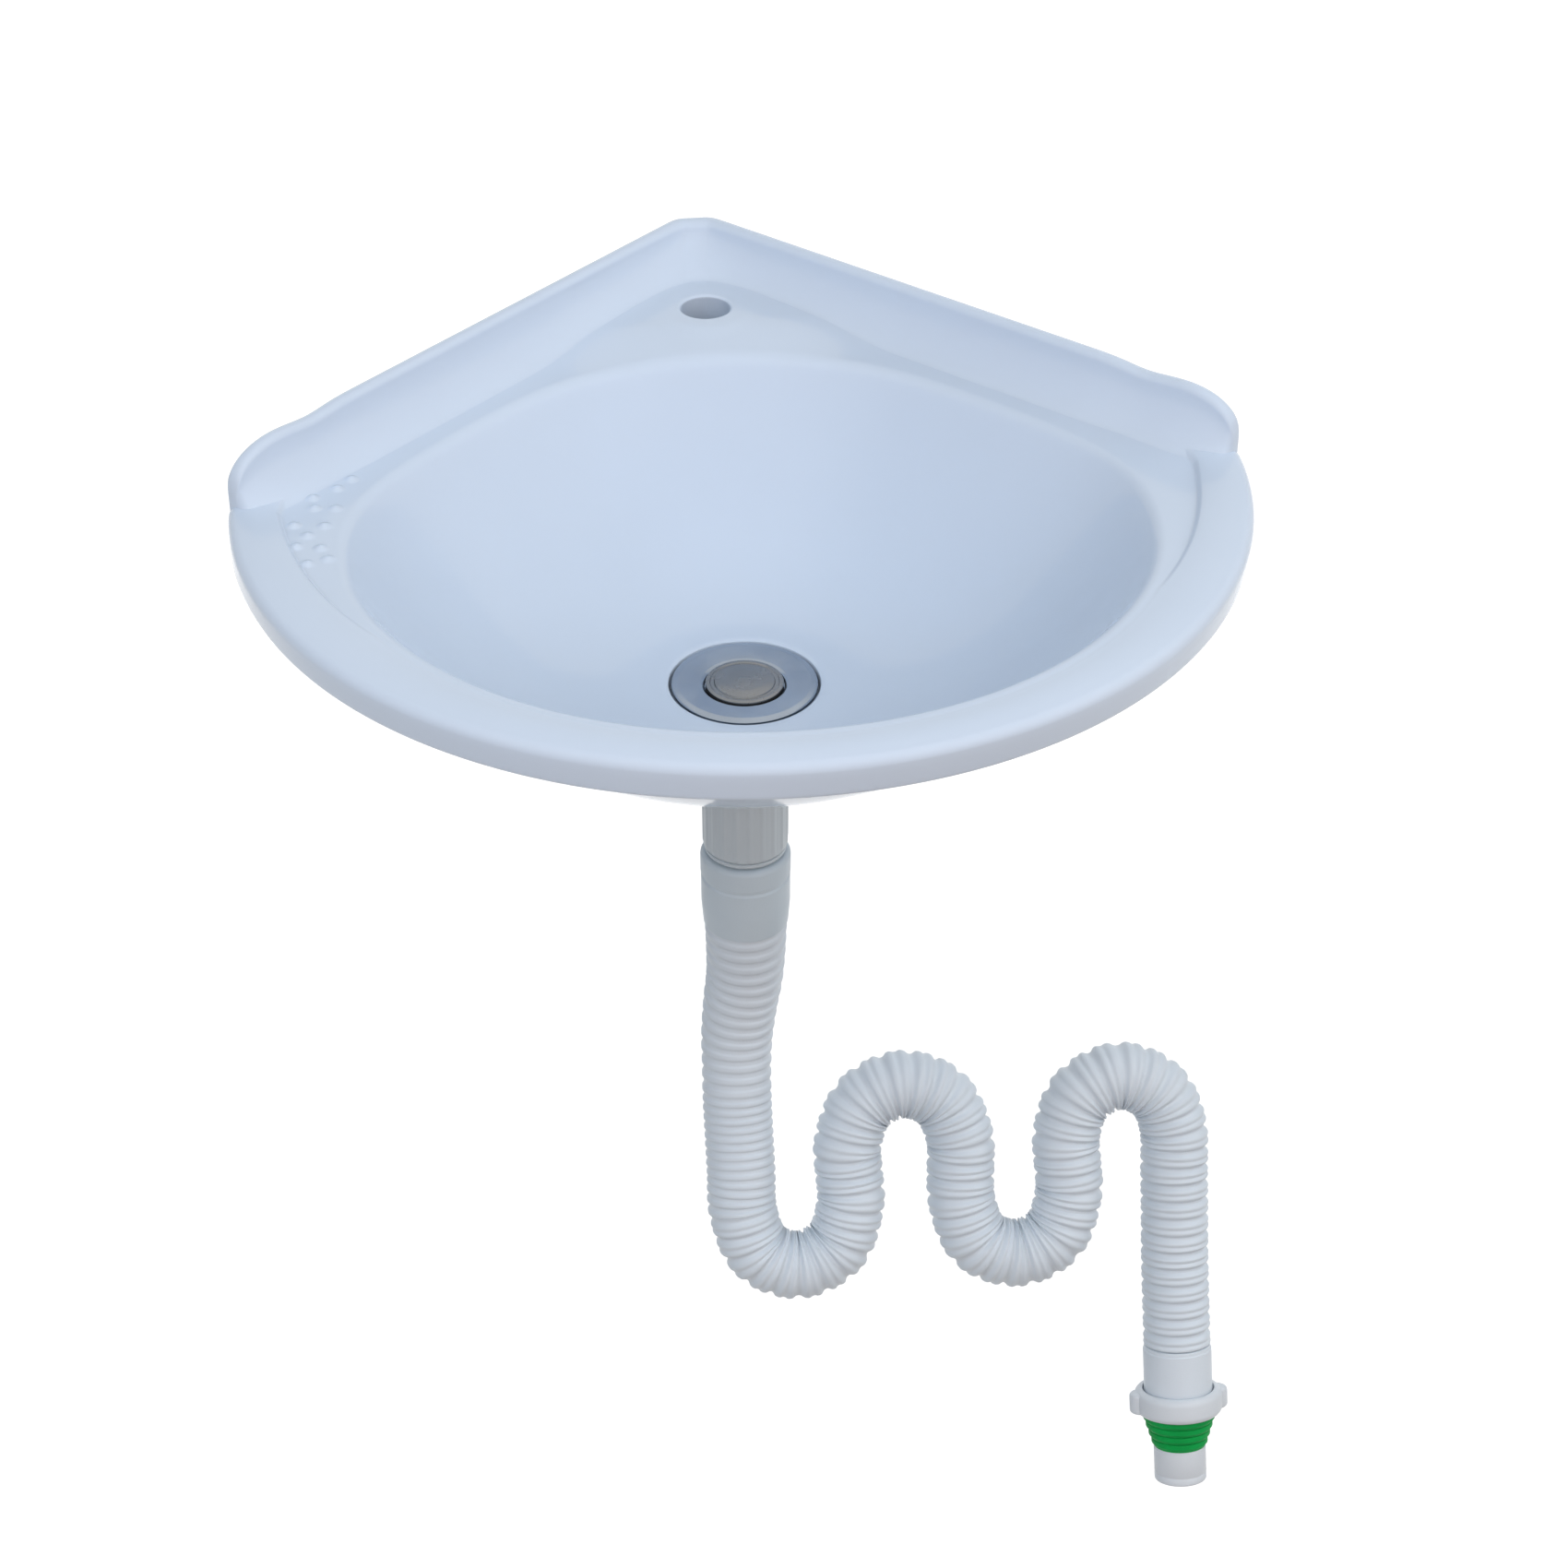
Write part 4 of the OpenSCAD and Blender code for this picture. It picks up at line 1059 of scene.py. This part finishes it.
def build_waste():
    """Flange with a pocket for the plug, and a tube whose thread is cut only where it is seen."""
    bottom = -WASTE_LEN
    root_r = THREAD_R - THREAD_H
    exposed_top = BACK_NUT_Z - BOWL_Z
    exposed_low = COUPLING_TOP_Z - BOWL_Z
    pocket_edge = [(POCKET_R, -1.9, 0.4), (POCKET_R + 1.8, -0.9, 1.2)]
    rim = [(FLANGE_R - FLANGE_EDGE, 0, 6), (FLANGE_R - 0.7, -0.35, 0.5), (FLANGE_R, -1.1, 0.3),
           (FLANGE_R, -2.5, 0.3)]
    outline = rounded([(WASTE_BORE_R, -POCKET_DOWN, 0.4), (POCKET_R, -POCKET_DOWN, 0.3), *pocket_edge, *rim,
                       (FLANGE_R - FLANGE_EDGE, -FLANGE_T, 0.3), (THREAD_R, -FLANGE_T, 0)])
    outline.append((THREAD_R, exposed_top))
    rings_per_turn = 6
    rings = round((exposed_top - exposed_low) / THREAD_PITCH * rings_per_turn)
    for k in range(1, rings):
        outline.append((THREAD_R - THREAD_MARK, mix(exposed_top, exposed_low, k / rings)))
    outline += [(THREAD_R, exposed_low), (THREAD_R, bottom + 1), (root_r, bottom), (WASTE_BORE_R, bottom)]
    made = lathe("waste_flange", outline, at_waste(BOWL_Z), FINE_SIDES, thread)
    add_cross_bar(made)
    return finish_piece(made, CHROME, "washbasin", ["waste_body"])


def build_plug():
    """Cap with a rounded rim and a shallow ring-shaped groove round its low dome."""
    low = -1.8
    groove_z = -0.6
    groove_out = 20.1
    groove_in = 18
    edge = [(PLUG_R - 0.3, low, 0.3), (PLUG_R, low + 0.5, 0.2), (PLUG_R, -0.35, 0.35), (PLUG_R - 0.8, 0, 0.5)]
    groove = [(groove_out + 0.5, 0.12, 0.25), (groove_out, groove_z, 0.25), (groove_in, groove_z, 0.25),
              (groove_in - 0.5, 0.25, 0.3)]
    dome = [(11, 0.64, 8), (CORE_R, 0.8, 0)]
    outline = rounded([(CORE_R, low, 0), *edge, *groove, *dome])
    made = lathe("plug_top", outline, at_waste(BOWL_Z), FINE_SIDES)
    return finish_piece(made, PLUG_METAL, "plug", ["plug_cap"], sharp=24)


COUPLING_H = COUPLING_TOP_Z - COUPLING_Z
GRIP_LOW = 5
GRIP_HIGH = COUPLING_H - 3
GRIP_H = 0.6
GRIP_FADE = 3
GRIP_GAP = 0.1


def grips(angle, r, z):
    """Radius of a point of the coupling nut, with upright ribs on its side."""
    near = 0.05
    edge = 0.1
    if r < COUPLING_R - near or z < GRIP_LOW - edge or z > GRIP_HIGH + edge:
        return r
    wave = max(0, math.cos(GRIP_N * angle) - GRIP_GAP) / (1 - GRIP_GAP)
    reach = smooth(GRIP_LOW, GRIP_LOW + GRIP_FADE, z) * (1 - smooth(GRIP_HIGH - GRIP_FADE, GRIP_HIGH, z))
    return r + reach * GRIP_H * wave


def build_coupling_nut():
    neck = 19.2
    bore = 21.1
    foot_h = 4
    sides = 240
    outline = rounded([(neck, 0, 0.3), (COUPLING_R - 1, 0, 1.2), (COUPLING_R, foot_h, 1)])
    rings = 16
    outline += [(COUPLING_R, mix(GRIP_LOW, GRIP_HIGH, k / rings)) for k in range(rings + 1)]
    outline += rounded([(COUPLING_R, COUPLING_H, 1.4), (bore, COUPLING_H, 0.6), (bore, COUPLING_LIP, 0),
                        (neck, COUPLING_LIP, 0)])
    made = lathe("coupling_nut_body", outline, at_waste(COUPLING_Z), sides, grips)
    return finish_piece(made, SHADED_NUT_PLASTIC, "washbasin", ["coupling_nut"])


def build_cuff():
    """Moulded end of the hose: neck in the nut, bulge with a ring line, and taper over the first ribs."""
    line_z = -267.5
    groove = 1.2
    flange_r = 20.7
    neck_r = 19
    break_r = 0.3
    low_r = BULGE_R - break_r
    line = [(BULGE_R, line_z + 1.5, 0.6), (BULGE_R - groove, line_z + 0.5, 0.4),
            (BULGE_R - groove, line_z - 1, 0.4), (low_r, line_z - 2.5, 0.6)]
    outline = rounded([(HOSE_BORE_R, CUFF_TOP_Z, break_r), (flange_r, CUFF_TOP_Z, 0.4),
                       (flange_r, CUFF_FLANGE_Z, break_r), (neck_r, CUFF_FLANGE_Z, 0), (neck_r, BULGE_Z, 0),
                       (BULGE_R, BULGE_Z, 3.5), *line, (low_r, TAPER_Z, 3), (MOUTH_R, CUFF_EXIT_Z, 1.2),
                       (HOSE_BORE_R, CUFF_EXIT_Z, break_r)], ARC_STEPS)
    made = lathe("hose_cuff_body", outline, at_waste(0), FINE_SIDES)
    return finish_piece(made, SHADED_CUFF_PLASTIC, "washbasin", ["hose_cuff"])


def dress(node, surface, bevel=0.0):
    """A CAD node that keeps its own shape gets its material, and soft edges where it is seen."""
    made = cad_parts[node]
    for place in made.material_slots:
        place.material = surface
    if bevel > 0:
        edges = made.modifiers.new("soft_edges", "BEVEL")
        edges.width = bevel * MM
        edges.segments = 3
        edges.limit_method = "ANGLE"
        edges.angle_limit = math.radians(40)


build_basin()
build_waste()
build_plug()
build_coupling_nut()
build_cuff()
dress("flange_seal", DARK_RUBBER)
dress("plug_seal", DARK_RUBBER)
dress("plug_stem", SPRING_STEEL)
dress("click_plunger", WHITE_PLASTIC)
dress("click_housing", WHITE_PLASTIC)
dress("click_spring", SPRING_STEEL)
dress("under_washer", DARK_RUBBER, 0.5)
dress("slip_washer", WHITE_PLASTIC, 0.3)
dress("back_nut", WHITE_PLASTIC, 0.8)
dress("coupling_washer", DARK_RUBBER)


# Light and floor

# Tones of the sky from straight down (0) to straight up (1)
GROUND_TONE = (0.07, 0.055, 0.055)
SKY_TONE = (0.15, 0.15, 0.15)
SKY_STOPS = [(0.0, GROUND_TONE), (0.45, GROUND_TONE), (0.55, SKY_TONE), (1.0, SKY_TONE)]
LAMP_TARGET = Vector((0, -0.3, -0.1))
# Name, place, size, power and colour
LAMPS = [("right_front_lamp", (0.85, -2.2, 2.3), 4.0, 35, (1.0, 0.99, 0.94)),
         ("left_front_lamp", (-1.6, -1.9, 2.0), 3.0, 54, (0.81, 0.90, 1.0)),
         ("low_front_lamp", (0.3, -3.2, 0.9), 3.0, 19, (1.0, 0.70, 0.58)),
         ("right_side_lamp", (2.6, -0.5, 1.6), 3.0, 45, (0.87, 0.94, 1.0)),
         ("back_lamp", (0.3, 3.0, 0.3), 3.0, 30, (1.0, 1.0, 1.0))]
FLOOR_HALF = 30.0
FLOOR_Z = -0.85
FLOOR_PAINT = (0.22, 0.22, 0.22, 1)
# Glow of the floor as the camera sees it, and as it lights the object
FLOOR_SEEN = 0.93
FLOOR_LIGHT = 0.05


def add_world():
    """White for the camera and mirrors; for matt surfaces a sky that is dark and warm below the horizon."""
    world = bpy.data.worlds.new("studio")
    bpy.context.scene.world = world
    world.use_nodes = True
    tree = world.node_tree
    seen = tree.nodes["Background"]
    seen.inputs["Color"].default_value = (1, 1, 1, 1)
    seen.inputs["Strength"].default_value = 1.0
    soft = tree.nodes.new("ShaderNodeBackground")
    direction = tree.nodes.new("ShaderNodeSeparateXYZ")
    tree.links.new(tree.nodes.new("ShaderNodeTexCoord").outputs["Generated"], direction.inputs["Vector"])
    height = tree.nodes.new("ShaderNodeMapRange")
    height.inputs["From Min"].default_value = -1
    height.inputs["From Max"].default_value = 1
    tree.links.new(direction.outputs["Z"], height.inputs["Value"])
    ramp = tree.nodes.new("ShaderNodeValToRGB")
    stops = ramp.color_ramp.elements
    for place, tone in SKY_STOPS[1:-1]:
        stops.new(place)
    for stop, (place, tone) in zip(stops, SKY_STOPS):
        stop.position = place
        stop.color = (*tone, 1)
    tree.links.new(height.outputs["Result"], ramp.inputs["Fac"])
    tree.links.new(ramp.outputs["Color"], soft.inputs["Color"])
    path = tree.nodes.new("ShaderNodeLightPath")
    choose = tree.nodes.new("ShaderNodeMixShader")
    tree.links.new(path.outputs["Is Diffuse Ray"], choose.inputs["Fac"])
    tree.links.new(seen.outputs["Background"], choose.inputs[1])
    tree.links.new(soft.outputs["Background"], choose.inputs[2])
    tree.links.new(choose.outputs["Shader"], tree.nodes["World Output"].inputs["Surface"])


def add_lamp(name, place, size, power, colour):
    """A soft round lamp that faces the basin and leaves no spot of its own in the glaze."""
    data = bpy.data.lights.new(name, "AREA")
    data.shape = "DISK"
    data.size = size
    data.energy = power
    data.color = colour
    lamp = bpy.data.objects.new(name, data)
    lamp.visible_glossy = False
    bpy.context.scene.collection.objects.link(lamp)
    towards = LAMP_TARGET - Vector(place)
    lamp.matrix_world = Matrix.Translation(place) @ towards.to_track_quat("-Z", "Y").to_matrix().to_4x4()


def add_floor():
    """White floor that keeps the object's shadow and can be seen through from below."""
    half = FLOOR_HALF
    corners = [(-half, -half), (half, -half), (half, half), (-half, half)]
    mesh = bpy.data.meshes.new("floor")
    mesh.from_pydata([(x, y, FLOOR_Z) for x, y in corners], [], [(0, 1, 2, 3)])
    floor = bpy.data.objects.new("floor", mesh)
    bpy.context.scene.collection.objects.link(floor)
    paint = bpy.data.materials.new("floor_white")
    paint.use_nodes = True
    tree = paint.node_tree
    plain = tree.nodes["Principled BSDF"]
    plain.inputs["Base Color"].default_value = FLOOR_PAINT
    plain.inputs["Roughness"].default_value = 1
    plain.inputs["Specular IOR Level"].default_value = 0
    glow = tree.nodes.new("ShaderNodeEmission")
    lit = tree.nodes.new("ShaderNodeMapRange")
    lit.inputs["To Min"].default_value = FLOOR_SEEN
    lit.inputs["To Max"].default_value = FLOOR_LIGHT
    tree.links.new(tree.nodes.new("ShaderNodeLightPath").outputs["Is Diffuse Ray"], lit.inputs["Value"])
    tree.links.new(lit.outputs["Result"], glow.inputs["Strength"])
    both = tree.nodes.new("ShaderNodeAddShader")
    clear = tree.nodes.new("ShaderNodeBsdfTransparent")
    facing = tree.nodes.new("ShaderNodeNewGeometry")
    choose = tree.nodes.new("ShaderNodeMixShader")
    tree.links.new(plain.outputs["BSDF"], both.inputs[0])
    tree.links.new(glow.outputs["Emission"], both.inputs[1])
    tree.links.new(facing.outputs["Backfacing"], choose.inputs["Fac"])
    tree.links.new(both.outputs["Shader"], choose.inputs[1])
    tree.links.new(clear.outputs["BSDF"], choose.inputs[2])
    tree.links.new(choose.outputs["Shader"], tree.nodes["Material Output"].inputs["Surface"])
    mesh.materials.append(paint)


add_world()
for lamp_row in LAMPS:
    add_lamp(*lamp_row)
add_floor()
bpy.context.scene.view_settings.view_transform = "Standard"
